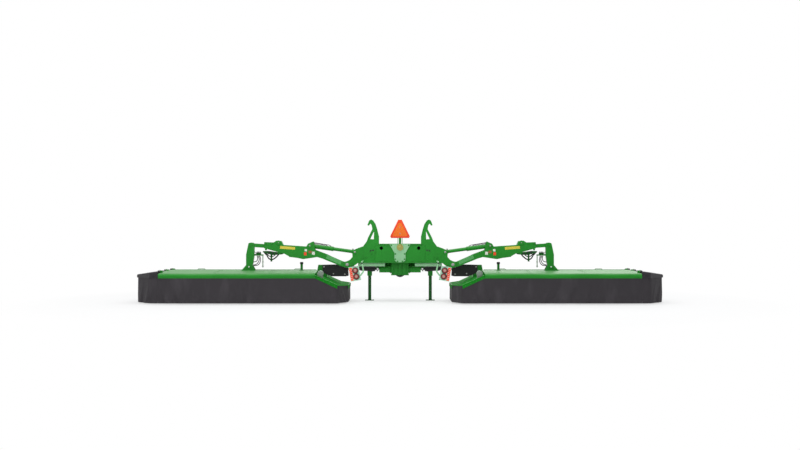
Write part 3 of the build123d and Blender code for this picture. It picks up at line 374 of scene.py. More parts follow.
def mix_finishes():
    """Mixes each finish: its name, the frame's slot that it fills, its kind and its values."""
    tint = bpy.context.scene.mower_colours
    for name, slot, mix, *values in (
            ("green_paint", "green_paint", paint, tint.green),
            # The deck's green: darkened and kept free of dust, painted shade on the inner decks'
            # tops.
            ("deck_green", "green_paint", paint, tone(tint.green, 0.84), 0.6, 0.0, 0.1),
            # A paler green: painted highlight on the boom's lower rear face.
            ("lit_green", "pale_green_paint", paint, (0.105, 0.39, 0.12), 0.4, 0.05),
            ("pale_green_paint", "pale_green_paint", paint, tint.pale_green, 0.3, 0.05),
            ("dark_paint", "dark_paint", paint, tint.dark_green, 0.42, 0.06),
            ("white_paint", "white_paint", sheeting, (0.46, 0.72, 0.51)),
            ("curtain_fabric", "curtain_fabric", fabric, tint.charcoal),
            ("black_plastic", "black_plastic", plastic, tint.black),
            # The guard caps' plastic: its top faces lightened far past sun fade, a painted
            # highlight.
            ("cap_plastic", "black_plastic", plastic, tint.black, 0.5, 13.0),
            ("black_rubber", "black_rubber", plastic, tone(tint.black, 0.8), 0.25),
            ("worn_steel", "worn_steel", metal, tint.steel, 0.46, 0.45),
            ("bright_steel", "worn_steel", metal, (0.62, 0.62, 0.63), 0.24, 0.05),
            ("zinc", "worn_steel", metal, (0.3, 0.3, 0.29), 0.42, 0.25),
            ("cast_grey", "worn_steel", plastic, (0.2, 0.25, 0.2), 0.8),
            ("brass_cap", "pale_green_paint", glossy, (0.36, 0.33, 0.08), 0.34),
            ("mint_edge", "white_paint", glossy, (0.5, 0.76, 0.56), 0.3),
            ("pale_lens", "lamp_plastic", glossy, (0.45, 0.26, 0.21), 0.12),
            ("lamp_plastic", "lamp_plastic", glossy, (0.2, 0.028, 0.02), 0.12),
            ("orange_sheet", "orange_sheet", sheeting, tint.orange),
            ("red_sheet", "orange_sheet", sheeting, tint.red),
            ("yellow_film", "green_paint", sheeting, (0.72, 0.58, 0.07)),
            ("white_film", "white_paint", sheeting, (0.8, 0.78, 0.72)),
            ("brown_film", "dark_paint", sheeting, (0.32, 0.12, 0.05))):
        FINISH[name], SLOT[name] = mix(name, *values), slot


# ---------------------------------------------------------------- surfaces as whole arrays
class Shell:
    """Closed surfaces: points, and blocks of faces as index arrays."""

    def __init__(self, points, blocks):
        self.points = np.asarray(points, dtype=float)
        self.blocks = blocks

    def __add__(self, other):
        step = len(self.points)
        return Shell(np.concatenate([self.points, other.points]),
                     self.blocks + [block + step for block in other.blocks])

    def moved(self, *offset):
        """The same surfaces, shifted."""
        return Shell(self.points + np.array(offset), self.blocks)

    def turned(self, degrees):
        """The same surfaces, turned about the Y axis: X and Z by cosine and sine."""
        cosine, sine = math.cos(math.radians(degrees)), math.sin(math.radians(degrees))
        x, y, z = self.points.T
        return Shell(np.stack([sine * z + cosine * x, y, cosine * z - sine * x], 1), self.blocks)

    def mirrored(self, axis):
        """The same surfaces, mirrored through 0 along an axis: 0 is X, 1 is Y, 2 is Z."""
        signs = np.where(np.arange(3) == axis, -1.0, 1.0)
        return Shell(self.points * signs, [block[:, ::-1] for block in self.blocks])

    def on_side(self, sign):
        """The same surfaces on the right side (1) or mirrored to the left (-1)."""
        return self if sign > 0 else self.mirrored(0)

    def on_both(self):
        """The surfaces and their mirror image on the left."""
        return self + self.mirrored(0)

    def at(self, x, y, z):
        """Copies of the surfaces at places whose coordinates may be rows of numbers."""
        places = np.stack(np.broadcast_arrays(x, y, z), -1).reshape(-1, 3)
        points = (places[:, None, :] + self.points[None, :, :]).reshape(-1, 3)
        steps = (np.arange(len(places)) * len(self.points))[:, None, None]
        return Shell(points, [(block[None] + steps).reshape(-1, block.shape[1])
                              for block in self.blocks])


def woven(grid, ring=False):
    """Closed shell from a grid of points whose rows are rings: capped, or closed round."""
    rows, columns = grid.shape[:2]
    row, column = np.meshgrid(np.arange(rows if ring else rows - 1), np.arange(columns),
                              indexing="ij")
    below, beside = (row + 1) % rows, (column + 1) % columns
    quads = np.stack([row * columns + column, row * columns + beside,
                      below * columns + beside, below * columns + column], -1)
    first = np.arange(columns)[None, ::-1]
    last = (rows - 1) * columns + np.arange(columns)[None, :]
    caps = [] if ring else [first, last]
    return Shell(grid.reshape(-1, 3), [quads.reshape(-1, 4), *caps])


AXES = {"x": ((0, 1, 0), (0, 0, 1), (1, 0, 0)), "y": ((0, 0, 1), (1, 0, 0), (0, 1, 0)),
        "z": ((1, 0, 0), (0, 1, 0), (0, 0, 1))}


def circle(radius, sides):
    """Outline of a circle: radius times cosine and sine."""
    angle = np.arange(sides) / sides * 2.0 * np.pi
    return radius * np.stack([np.cos(angle), np.sin(angle)], 1)


def spun(profile, axis, sides, inner=None):
    """A profile of (radius, along) pairs carried round an axis: radius times cosine and sine.

    With an inner radius it is a hollow ring instead of a solid one.
    """
    if inner:
        profile = [*profile, (inner, profile[-1][1]), (inner, profile[0][1])]
    radius, at = np.array(profile, dtype=float).T[:, :, None, None]
    across, up, along = np.array(AXES[axis], dtype=float)
    turn = circle(1.0, sides)
    return woven(radius * (turn[:, :1] * across + turn[:, 1:] * up) + at * along, bool(inner))


def unit_length(vectors):
    """Vectors divided by their own lengths."""
    return vectors / np.linalg.norm(vectors, axis=1)[:, None]


def left_of(ahead):
    """Directions in a plane, turned a quarter to the left: minus the second, and the first."""
    return np.stack([-ahead[:, 1], ahead[:, 0]], 1)


def drawn_in(outline, distance):
    """An outline whose every side is moved inwards by a distance, corners mitred."""
    sharpest = 0.25
    normal = left_of(unit_length(np.roll(outline, -1, 0) - outline))
    mitre = normal + np.roll(normal, 1, 0)
    mitre /= np.maximum((mitre * normal).sum(1), sharpest)[:, None]
    return outline + mitre * distance


def extruded(outline, axis, low_at, high_at, edge=0.0):
    """A flat outline carried along an axis, drawn in by the edge width at both ends.

    The outline runs anticlockwise in (Y, Z), (X, Z) or (X, Y) for the axes x, y and z.
    """
    across, up, along = np.array(AXES[axis], dtype=float)
    outline = np.array(outline, dtype=float)
    if axis == "y":
        outline = outline[::-1, ::-1]
    rings = [(outline, low_at), (outline, high_at)]
    if edge:
        inset = drawn_in(outline, edge)
        rings = [(inset, low_at), (outline, low_at + edge), (outline, high_at - edge),
                 (inset, high_at)]
    return woven(np.stack([ring[:, :1] * across + ring[:, 1:] * up + at * along
                           for ring, at in rings]))


def plate(x, z, width, height, rear, front, edge=0.0, turn=0.0):
    """A plate from rear to front: a rectangle about a point in (X, Z), turned by degrees."""
    corners = np.array([(-1, -1), (1, -1), (1, 1), (-1, 1)]) * (width / 2.0, height / 2.0)
    cosine, sine = math.cos(math.radians(turn)), math.sin(math.radians(turn))
    outline = corners @ np.array([(cosine, sine), (-sine, cosine)]) + (x, z)
    return extruded(outline, "y", rear, front, edge)


def strip_on(line, thickness):
    """Outline of a thin strip that lies on a line: out along it, and back one thickness above."""
    line = np.array(line, dtype=float)
    above = left_of(unit_length(np.gradient(line, axis=0)))
    return np.concatenate([line, (line + above * thickness)[::-1]])


def rounded_path(points, radius):
    """A route of straight runs whose corners are quadratic curves, tangent at both ends."""
    steps, most_of_run = 6, 0.49
    points = np.array(points, dtype=float)
    before = points[:-2] - points[1:-1]
    after = points[2:] - points[1:-1]
    run = np.minimum(np.linalg.norm(before, axis=1), np.linalg.norm(after, axis=1))
    reach = np.minimum(run * most_of_run, radius)[:, None]
    start = points[1:-1] + unit_length(before) * reach
    end = points[1:-1] + unit_length(after) * reach
    share = np.linspace(0.0, 1.0, steps + 1)[None, :, None]
    bend = ((1 - share) ** 2 * start[:, None] + 2 * share * (1 - share) * points[1:-1, None]
            + share ** 2 * end[:, None])
    return np.concatenate([points[:1], bend.reshape(-1, points.shape[1]), points[-1:]])


def resampled(path, count):
    """A path at equal distances along it, with its distances from the start."""
    step = np.linalg.norm(np.diff(path, axis=0), axis=1)
    along = np.concatenate([[0.0], np.cumsum(step)])
    at = np.linspace(0.0, along[-1], count)
    return np.stack([np.interp(at, along, path[:, k]) for k in range(path.shape[1])], 1), at


def tube(points, radius, bend=0.05, sides=10):
    """A round tube along straight runs with eased corners: a circle carried along the path.

    Sideways is ahead times the axis that the path follows least.
    """
    path = rounded_path(points, bend)
    ahead = unit_length(np.gradient(path, axis=0))
    level = np.eye(3)[::-1][np.argmin(np.abs(ahead).max(0)[::-1].round(3))]
    side = unit_length(np.cross(ahead, level))
    rise = np.cross(side, ahead)
    outline = circle(radius, sides)
    grid = (path[:, None] + outline[None, :, :1] * side[:, None]
            + outline[None, :, 1:] * rise[:, None])
    return woven(grid[:, ::-1])


def tubes(radius, bend, sides, *routes):
    """Several tubes of one size."""
    return summed(tube(route, radius, bend, sides) for route in routes)


def bolts(facing, width, x, y, z):
    """Bolt heads on washers, six flats with a turned edge, facing along an axis or -axis."""
    axis = facing[-1]
    washer_radius, washer_top = width * 0.85, width * 0.12
    radius, shoulder, crown_radius, crown = width * 0.56, width * 0.62, width * 0.47, width * 0.72
    head = spun([(washer_radius, 0.0), (washer_radius, washer_top)], axis, 12)
    head += spun([(radius, washer_top), (radius, shoulder), (crown_radius, crown)], axis, 6)
    if facing[0] == "-":
        head = head.mirrored("xyz".index(axis))
    return head.at(x, y, z)


def pin_end(radius, proud, x, y, z):
    """A pin's end on its washer, standing out to the rear: steps and a turned edge."""
    washer_radius, washer_top, chamfer_at, chamfer_radius = (
        radius * 1.35, proud * 0.4, proud * 0.8, radius * 0.82)
    steps = [(washer_radius, 0.0), (washer_radius, washer_top), (radius, washer_top),
             (radius, chamfer_at), (chamfer_radius, proud)]
    return spun(steps, "y", 24).mirrored(1).moved(x, y, z)


def boss(radius, rise, top_radius, top_rise, sides, x, y, z):
    """A round boss that stands out to the rear and narrows to its top."""
    steps = [(radius, 0.0), (radius, rise), (top_radius, top_rise)]
    return spun(steps, "y", sides).mirrored(1).moved(x, y, z)


def summed(shells):
    """Several shells as one."""
    first, *others = shells
    return sum(others, first)


def place(name, shell, finish, body, replaces=()):
    """Makes one object from a shell, with its finish, and lets it ride on a body."""
    mesh = bpy.data.meshes.new(name)
    faces = [face for block in shell.blocks for face in block.tolist()]
    mesh.from_pydata(shell.points.tolist(), [], faces)
    mesh.materials.append(FINISH[finish])
    mesh.update()
    mesh.shade_smooth()
    mesh.set_sharp_from_angle(angle=PIECE_SHARP)
    made = bpy.data.objects.new(name, mesh)
    bpy.context.scene.collection.objects.link(made)
    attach(made, body)
    if replaces:
        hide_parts(*replaces)
    return made


def fit(*pieces):
    """Places (name, body, finish, shell) on the right and, mirrored, on the left.

    A node named last is one that the piece replaces. Names, bodies and nodes end with the side.
    """
    for side, sign in SIDES:
        for name, body, finish, shell, *nodes in pieces:
            place(f"{name}_{side}", shell.on_side(sign), finish, f"{body}_{side}",
                  [f"{node}_{side}" for node in nodes])


def fit_middle(*pieces):
    """Places (name, finish, shell) on the headstock."""
    for name, finish, shell in pieces:
        place(name, shell, finish, "headstock")


# ---------------------------------------------------------------- curtains
def folds(along, pitch, phase):
    """Uneven soft folds along a curtain: a slow cosine whose phase wanders, and a finer one."""
    wander_pitch, fine_pitch, swell_pitch = pitch * 3.7, pitch * 0.43, pitch * 5.3
    wander = 1.3 * np.sin(2.0 * np.pi * along / wander_pitch + phase)
    coarse = np.cos(2.0 * np.pi * along / pitch + wander + phase)
    fine = np.cos(2.0 * np.pi * along / fine_pitch + 2.0 * wander + 1.7 * phase)
    swell = 0.55 + 0.45 * np.sin(2.0 * np.pi * along / swell_pitch + 2.3 * phase)
    return (0.7 * coarse + 0.3 * fine) * swell


def hung_sheet(path, top_of, low_z, phase, sign):
    """A hung curtain: plan path times height, its folds growing towards the hem.

    Returns the shell, its flat width, its greatest height and its flat area.
    """
    sizes = bpy.context.scene.mower_sizes
    corner, step, rows, flat_end, lean = 0.07, 0.02, 25, 0.12, 0.22
    rounded = rounded_path(path, corner)
    length = np.linalg.norm(np.diff(rounded, axis=0), axis=1).sum()
    plan, along = resampled(rounded, max(12, int(length / step)))
    outward = -left_of(unit_length(np.gradient(plan, axis=0)))
    drop = np.linspace(0.0, 1.0, rows)
    top = top_of(plan)
    z = top[:, None] + (low_z - top)[:, None] * drop[None]
    near_end = np.clip(np.minimum(along, length - along) / flat_end, 0.0, 1.0)
    leant = along[:, None] + lean * (drop[None] - 0.5) * np.cos(along[:, None] * 1.9 + phase)
    swing = folds(leant, sizes.fold_pitch, phase) * sizes.fold_depth * near_end[:, None]
    depth = swing * drop[None] ** 1.2
    depth += 0.25 * sizes.fold_depth * np.sin(3.0 * drop + 9.0 * along[:, None]) * drop[None] ** 2
    half = sizes.curtain_thickness / 2.0 * outward[:, None]
    middle = plan[:, None] + depth[..., None] * outward[:, None]
    front = np.concatenate([middle + half, z[..., None]], -1)
    back = np.concatenate([middle - half, z[..., None]], -1)
    shell = woven(np.concatenate([front, back[:, ::-1]], 1))
    return (shell.on_side(sign), float(along[-1]), float((top - low_z).max()),
            float(np.trapz(top - low_z, along)))


# ---------------------------------------------------------------- operators, one a group of pieces
class MOWER_OT_finishes(bpy.types.Operator):
    """Mixes the finishes and puts them on the frame's own pieces"""
    bl_idname = "mower.finishes"
    bl_label = "Finishes"

    def execute(self, context):
        mix_finishes()
        slots = {part["node"]: part["material_slot"] for part in frame["record"]["subparts"]}
        for side, _ in SIDES:
            # The inner decks' tops take the darker green, painted shade.
            slots["inner_deck_" + side] = "deck_green"
            # The guard caps take the plastic with a painted highlight on its top faces.
            slots["guard_cap_" + side] = "cap_plastic"
        for name, made in frame["nodes"].items():
            for held in made.material_slots:
                held.material = FINISH[slots[name]]
            made.data.set_sharp_from_angle(angle=FRAME_SHARP)
        return {"FINISHED"}


class MOWER_OT_curtains(bpy.types.Operator):
    """Hangs the folded curtains under the roofs, the inner decks and the outer guards"""
    bl_idname = "mower.curtains"
    bl_label = "Curtains"

    def execute(self, context):
        half, lap, outer_x, bend_x = 0.002, 0.004, 4.4445, 4.595
        end, rear, hem = low("curtains_right") + (half, half, 0.0)
        front = high("curtains_right")[1] - half
        guard_rear, guard_hem = low("guard_curtain_right")[1:]
        guard_x, guard_front, guard_top = high("guard_curtain_right")

        def under_deck(plan):
            """Top of a sheet: the deck's height at x, less the deck's and the seam's depth."""
            return deck_z(plan[:, 0]) - 0.0085

        def under_guard(plan):
            """Top of the guard's sheet: level all along."""
            return np.full(len(plan), guard_top)

        unit = (under_deck, hem, "unit", "curtains", "roof")
        runs = (
            ("rear", 1.0, [(end, rear + REAR_TURN), (DECK_CORNER_X, rear), (outer_x, rear)], *unit),
            ("end", 3.1, np.linspace((end, front - FRONT_TURN - lap),
                                     (end, rear + REAR_TURN + lap), 3), *unit),
            ("front", 5.2, [(outer_x, front), (DECK_CORNER_X, front), (end, front - FRONT_TURN)],
             *unit),
            ("guard", 4.0, [(4.446, guard_rear + half), (bend_x, guard_rear + half),
                            (guard_x - half, guard_rear + REAR_TURN),
                            (guard_x - half, guard_front - FRONT_TURN),
                            (bend_x, guard_front - half), (4.446, guard_front - half)],
             under_guard, guard_hem, "guard", "guard_curtain", "guard_cap"))
        for side, sign in SIDES:
            for name, phase, path, top_of, low_z, body, node, carrier in runs:
                shell, width, drop, area = hung_sheet(path, top_of, low_z, phase + sign, sign)
                made = place(f"curtain_{name}_{side}", shell, "curtain_fabric", f"{body}_{side}",
                             [f"{node}_{side}"])
        return {"FINISHED"}


class MOWER_OT_roofs(bpy.types.Operator):
    """Trims the roofs: rolled edges, seams, cover hinge, handles, bolts, belt housing, gauge cap"""
    bl_idname = "mower.roofs"
    bl_label = "Roofs and decks"

    def execute(self, context):
        sizes = context.scene.mower_sizes
        lip, wrap, sheet = 0.07, 0.055, 0.003
        turn = np.radians(np.linspace(-75.0, 78.0, 12))
        nose = np.stack([0.03 - 0.046 * np.cos(turn), 0.528 + 0.0375 * np.sin(turn)], 1)
        rear = np.concatenate([nose + (REAR_Y, 0.0), [(REAR_Y + lip, roof_z(REAR_Y + lip))]])
        front = np.concatenate([[(FRONT_Y - lip, roof_z(FRONT_Y - lip))],
                                (nose * (-1.0, 1.0) + (FRONT_Y, 0.0))[::-1]])
        edges = summed(extruded(strip_on(line, sheet), "x", ROOF_INNER_X + 0.002,
                                ROOF_OUTER_X - 0.002) for line in (rear, front))
        slope_x = (1.152, 1.552)
        slope = strip_on(np.transpose([slope_x, deck_z(slope_x)]), 0.004)
        edges += extruded(slope, "y", REAR_Y - 0.0035, REAR_Y + wrap)
        edges += extruded(slope, "y", FRONT_Y - wrap, FRONT_Y + 0.0035)
        end_x = 0.972
        corner_z, end_z = deck_z(DECK_CORNER_X), deck_z(end_x)
        edges += tube([(DECK_CORNER_X, REAR_Y + 0.006, corner_z),
                       (end_x, REAR_Y + REAR_TURN, end_z), (end_x, FRONT_Y - FRONT_TURN, end_z),
                       (DECK_CORNER_X, FRONT_Y - 0.006, corner_z)], 0.007, 0.04, 8)
        under = [(y, roof_z(y) - 0.004)
                 for y in (FRONT_Y - wrap, RIDGE_FRONT_Y, RIDGE_REAR_Y, REAR_Y + wrap)]
        edges += extruded([(REAR_Y + wrap, 0.524), (FRONT_Y - wrap, 0.524), *under], "x",
                          ROOF_INNER_X + 0.001, ROOF_INNER_X + 0.004)

        seam_x, seam_half = (2.4, 3.42), 0.022
        seam = strip_on([(y, roof_z(y))
                         for y in (-0.975, RIDGE_REAR_Y, RIDGE_FRONT_Y, 0.625)], sheet)
        seams = summed(extruded(seam, "x", x - seam_half, x + seam_half, 0.001) for x in seam_x)
        seams += spun([(0.007, 1.62), (0.007, 4.4)], "x", 10).moved(0.0, RIDGE_FRONT_Y, 0.598)
        handle_y = 0.52
        handle = tube([(-0.07, 0.0, -0.004), (-0.07, 0.0, 0.032), (0.07, 0.0, 0.032),
                       (0.07, 0.0, -0.004)], 0.006, 0.02, 8)
        handles = handle.at((2.0, 3.9), handle_y, roof_z(handle_y))

        rail_start, rail_end, rail_z = 1.64, 4.38, 0.4885
        count = max(2, int(round((rail_end - rail_start) / sizes.bolt_pitch)) + 1)
        along = np.linspace(rail_start, rail_end, count)
        slope_x = (1.2, 1.3, 1.4, 1.5)
        heads = summed(bolts(facing, sizes.bolt_width, x, y, z)
                       for x, z in ((along, rail_z), (slope_x, deck_z(slope_x) - 0.036))
                       for facing, y in (("-y", REAR_Y), ("y", FRONT_Y)))
        rivet_y = (-0.9, -0.66, -0.42, 0.0, 0.3, 0.58)
        for x in seam_x:
            for across in (-0.014, 0.014):
                heads += bolts("z", 0.01, x + across, rivet_y, roof_z(rivet_y) + 0.002)

        belt_x, belt_z = 1.465, 0.562
        housing = spun([(0.02, -1.0), (0.05, -1.0), (0.058, -0.992), (0.058, -0.905),
                        (0.052, -0.897), (0.02, -0.897)], "y", 32)
        lid = spun([(0.034, -1.006), (0.04, -1.003), (0.04, -0.999)], "y", 24)
        housing = (housing + lid).moved(belt_x, 0.0, belt_z)
        housing += plate(belt_x, 0.525, 0.092, 0.08, -0.985, -0.912, 0.003)
        gauge = (1.885, -0.06, 0.0)
        cap = spun([(0.025, 0.712), (0.032, 0.718), (0.032, 0.748), (0.026, 0.756)], "z", 24)
        collar = spun([(0.046, 0.597), (0.046, 0.604), (0.03, 0.612)], "z", 28)
        fit(("edges", "unit", "green_paint", edges),
            ("seams", "unit", "green_paint", seams + handles + collar.moved(*gauge)),
            ("rail_bolts", "unit", "green_paint", heads),
            ("belt_housing", "unit", "cast_grey", housing),
            ("gauge_cap", "unit", "black_plastic", cap.moved(*gauge)))
        return {"FINISHED"}


class MOWER_OT_guards(bpy.types.Operator):
    """Dresses the outer guards: rounded lip, moulded ribs, lower bead, latches and hinge pins"""
    bl_idname = "mower.guards"
    bl_label = "Outer guards"

    def execute(self, context):
        def cap_z(x):
            """Height of the cap's top: its inner height less x's distance times the slope."""
            inner_z, slope = 0.595, 0.13684
            return inner_z - (x - GUARD_INNER_X) * slope

        near_x, bend_x, far_x = 4.449, 4.598, 4.909
        plan = [(near_x, REAR_Y + 0.009), (bend_x, REAR_Y + 0.009), (far_x, REAR_Y + 0.441),
                (far_x, FRONT_Y - 0.221), (bend_x, FRONT_Y - 0.009), (near_x, FRONT_Y - 0.009)]
        lips = tube([(x, y, cap_z(x) - 0.003) for x, y in plan], 0.011)
        lips += tube([(x, y, 0.486) for x, y in plan], 0.007, sides=8)
        rib_x = np.array((4.5, 4.52, 4.86, 4.88))
        top = np.stack([rib_x, cap_z(rib_x) + (-0.002, 0.006, 0.006, -0.002)], 1)
        rib = np.concatenate([top[::-1], top[[0, -1]] - (0.0, 0.004)])
        ribs = summed(extruded(rib, "y", y - 0.011, y + 0.011, 0.002)
                      for y in (-0.46, -0.22, 0.02, 0.26))
        latch_z = 0.53
        latch = plate(4.52, latch_z, 0.055, 0.03, REAR_Y - 0.004, REAR_Y + 0.002, 0.001)
        latch += bolts("-y", 0.013, (4.505, 4.535), REAR_Y - 0.004, latch_z)
        pins = summed(pin_end(0.007, 0.008, 4.453, y, 0.613) for y in (-0.83, -0.23, 0.37))
        # The lips and ribs share the guard caps' plastic, with the painted highlight on its top
        # faces.
        fit(("guard_lips", "guard", "cap_plastic", lips + ribs),
            ("guard_latch", "guard", "black_plastic", latch),
            ("guard_pin_ends", "unit", "zinc", pins))
        return {"FINISHED"}


class MOWER_OT_booms(bpy.types.Operator):
    """Fits the booms: pin ends, wear pad bolts, plain film strips, a pale green film painted as a
    highlight, valve hoses and fittings
    """
    bl_idname = "mower.booms"
    bl_label = "Booms"

    def execute(self, context):
        face = BOOM_REAR_Y
        film_y = (face - 0.0008, face + 0.001)
        yellow = plate(2.13, 1.03, 0.285, 0.052, *film_y, turn=3.8)
        white = (plate(1.64, 0.928, 0.052, 0.056, *film_y)
                 + plate(1.785, 0.985, 0.046, 0.044, *film_y))
        brown = plate(1.704, 0.952, 0.06, 0.046, *film_y)
        red = plate(1.795, 0.918, 0.05, 0.058, *film_y)
        # A pale green film on the lower rear face: painted highlight, standing in for light on the
        # top of a rounded section.
        arm = extruded([(1.128, 0.712), (1.404, 0.832), (1.376, 0.905), (1.1, 0.785)],
                       "y", *film_y)

        rod_x, rod_z = ROD_PIN
        lock_x = 2.3
        steel = (pin_end(0.016, 0.016, rod_x, face, rod_z)
                 + pin_end(0.01, 0.012, lock_x, face, 1.128))
        ring = (0.05, 0.006, 0.034, 0.01, 32)
        bosses = boss(*ring, rod_x, face, rod_z) + boss(*ring, lock_x, face + 0.001, 1.12)
        bosses += plate(2.33, 0.935, 0.15, 0.014, face - 0.006, face + 0.06, 0.002, 13.0)
        for z in (1.002, 1.112):
            bosses += bolts("-y", 0.024, (2.43, 2.54), face, z)

        near, middle, far = face + 0.014, face + 0.034, face + 0.062
        loops = tube([(2.292, middle, 0.924), (2.322, middle, 0.878), (2.386, middle, 0.822),
                      (2.44, middle, 0.8), (2.492, middle, 0.826), (2.528, middle, 0.894)],
                     0.012)
        loops += tube([(2.352, far, 0.918), (2.398, far, 0.868), (2.47, far, 0.862),
                       (2.56, far, 0.934)], 0.009)
        loops += tube([(2.47, near, 0.952), (2.5, near - 0.016, 0.905),
                       (2.545, near - 0.01, 0.9), (2.58, near + 0.004, 0.95)], 0.008, 0.04)
        ferrule = spun([(0.013, 0.0), (0.016, 0.003), (0.016, 0.024), (0.013, 0.028)], "z", 14)
        ends = ferrule.at((2.292, 2.528, 2.44, 2.352, 2.56), (middle, middle, middle, far, far),
                          (0.905, 0.88, 0.772, 0.896, 0.918))
        knob = spun([(0.012, -0.036), (0.017, -0.03), (0.017, -0.004), (0.012, 0.0)], "y", 16)
        knobs = knob.at((2.345, 2.41, 2.475), face, (0.93, 0.938, 0.95))
        fit(("strip", "boom", "yellow_film", yellow),
            ("pale_films", "boom", "white_film", white),
            ("brown_film", "boom", "brown_film", brown),
            ("red_film", "boom", "red_sheet", red),
            ("boom_pins", "boom", "zinc", steel),
            ("arm_face", "boom", "lit_green", arm),
            ("boom_bosses", "boom", "green_paint", bosses),
            ("valve_loops", "boom", "black_rubber", loops),
            ("valve_ends", "boom", "zinc", ends),
            ("valve_knobs", "boom", "black_plastic", knobs))
        return {"FINISHED"}


class MOWER_OT_posts(bpy.types.Operator):
    """Fits the slide posts: hoses with ferrules, manifold, tilt pin and foot bolts"""
    bl_idname = "mower.posts"
    bl_label = "Posts"

    def execute(self, context):
        y, post_x = BOOM_Y + 0.048, 2.787
        hoses = tubes(
            0.0075, 0.03, 10,
            [(2.668, y, 0.876), (2.654, y - 0.005, 0.8), (2.672, y - 0.01, 0.73),
             (2.712, y - 0.018, 0.694), (post_x, y - 0.036, 0.69)],
            [(2.692, y, 0.876), (2.678, y - 0.005, 0.8), (2.71, y - 0.01, 0.735),
             (2.74, y - 0.018, 0.712), (post_x, y - 0.022, 0.704)],
            [(2.716, y, 0.876), (2.706, y - 0.01, 0.836), (2.722, y - 0.012, 0.78),
             (2.752, y - 0.018, 0.764), (post_x, y - 0.02, 0.76)])
        ferrule = spun([(0.008, -0.034), (0.0105, -0.031), (0.0105, -0.008), (0.008, -0.004)],
                       "z", 14)
        tap = spun([(0.008, 0.0), (0.01, 0.002), (0.01, 0.018), (0.006, 0.022)], "z", 12)
        ends = ferrule.at((2.668, 2.692, 2.716), y, 0.88) + tap.at((2.664, 2.692, 2.72), y, 0.938)
        block = plate(2.692, 0.922, 0.092, 0.036, y - 0.02, y + 0.022, 0.003)
        lines = tubes(
            0.005, 0.02, 8,
            [(2.734, y, 0.932), (2.756, y, 0.934), (2.77, y - 0.006, 0.96),
             (post_x, y - 0.012, 0.968)],
            [(2.734, y, 0.914), (2.76, y, 0.912), (2.772, y - 0.006, 0.886),
             (post_x, y - 0.012, 0.88)])
        clamp = plate(2.612, 0.76, 0.034, 0.012, y - 0.017, y + 0.017, 0.002)
        top = bolts("-y", 0.02, (2.8, 2.846), BOOM_Y - 0.055, (1.085, 1.06))

        tilt_x, tilt_z = TILT_PIN
        collar_y = -0.338
        foot = bolts("-y", 0.019, (2.79, 2.815, 2.905, 2.93), BOOM_Y - 0.076,
                     (0.622, 0.66, 0.66, 0.622))
        foot += bolts("z", 0.019, (2.765, 2.765, 2.985, 2.985), (-0.36, -0.14, -0.36, -0.14), 0.6)
        foot += extruded([(2.735, -0.385), (3.015, -0.385), (3.015, -0.115), (2.735, -0.115)],
                         "z", 0.594, 0.601, 0.002)
        foot += boss(0.03, 0.004, 0.018, 0.006, 28, tilt_x, collar_y, tilt_z)
        fit(("hoses", "slide", "black_rubber", hoses, "post_hoses"),
            ("ferrules", "slide", "zinc", ends + clamp + clamp.moved(0.0, 0.0, -0.08)),
            ("post_bolts", "slide", "green_paint", top),
            ("manifold", "slide", "dark_paint", block + lines),
            ("tilt_pin_end", "unit", "bright_steel",
             pin_end(0.013, 0.012, tilt_x, collar_y, tilt_z)),
            ("foot", "unit", "green_paint", foot))
        return {"FINISHED"}


class MOWER_OT_cylinders(bpy.types.Operator):
    """Fits the lift cylinders: end caps, ports, guard rings, pressure lines, clamps, fittings"""
    bl_idname = "mower.cylinders"
    bl_label = "Lift cylinders"

    def execute(self, context):
        def laid(shell):
            """A shell made along X, turned to the cylinder's slope and moved to its pin."""
            return shell.turned(-LIFT_ANGLE).moved(LIFT_PIN[0], BOOM_Y, LIFT_PIN[1])

        cap = spun([(0.034, 0.028), (0.0385, 0.031), (0.0385, 0.061), (0.034, 0.064)],
                   "x", 28, 0.03)
        cap += spun([(0.0335, 0.398), (0.035, 0.4), (0.035, 0.424), (0.0335, 0.427)],
                    "x", 28, 0.03)
        port = spun([(0.011, 0.032), (0.011, 0.044), (0.014, 0.045), (0.014, 0.053),
                     (0.009, 0.056)], "z", 16).moved(0.047, 0.0, 0.0)
        rings = spun([(0.043, 0.416), (0.0452, 0.418), (0.0452, 0.431), (0.043, 0.434)],
                     "x", 32, 0.041)
        rings += spun([(0.043, 0.778), (0.0452, 0.781), (0.0452, 0.793), (0.043, 0.796)],
                      "x", 32, 0.041)
        tee_x = 0.822
        tee = spun([(0.011, 0.018), (0.011, 0.06), (0.015, 0.062), (0.015, 0.078), (0.009, 0.082)],
                   "z", 16).moved(tee_x, 0.0, 0.0)
        lines = tubes(
            0.0055, 0.03, 8,
            [(tee_x, 0.012, 0.068), (0.78, 0.016, 0.068), (0.5, 0.016, 0.06),
             (0.462, 0.016, 0.044)],
            [(tee_x, -0.012, 0.056), (0.79, -0.016, 0.054), (0.56, -0.016, 0.054),
             (0.53, -0.016, 0.04)])
        clamp = extruded([(-0.026, 0.038), (0.026, 0.038), (0.026, 0.064), (-0.026, 0.064)],
                         "x", 0.0, 0.014, 0.002)
        fit(("barrel_caps", "lift_barrel", "green_paint", laid(cap)),
            ("barrel_port", "lift_barrel", "zinc", laid(port)),
            ("rod_guard_rings", "lift_rod", "green_paint", laid(rings)),
            ("rod_lines", "lift_rod", "black_rubber", laid(lines)),
            ("rod_fitting", "lift_rod", "zinc", laid(tee + clamp.at((0.6, 0.72), 0.0, 0.0))))
        return {"FINISHED"}


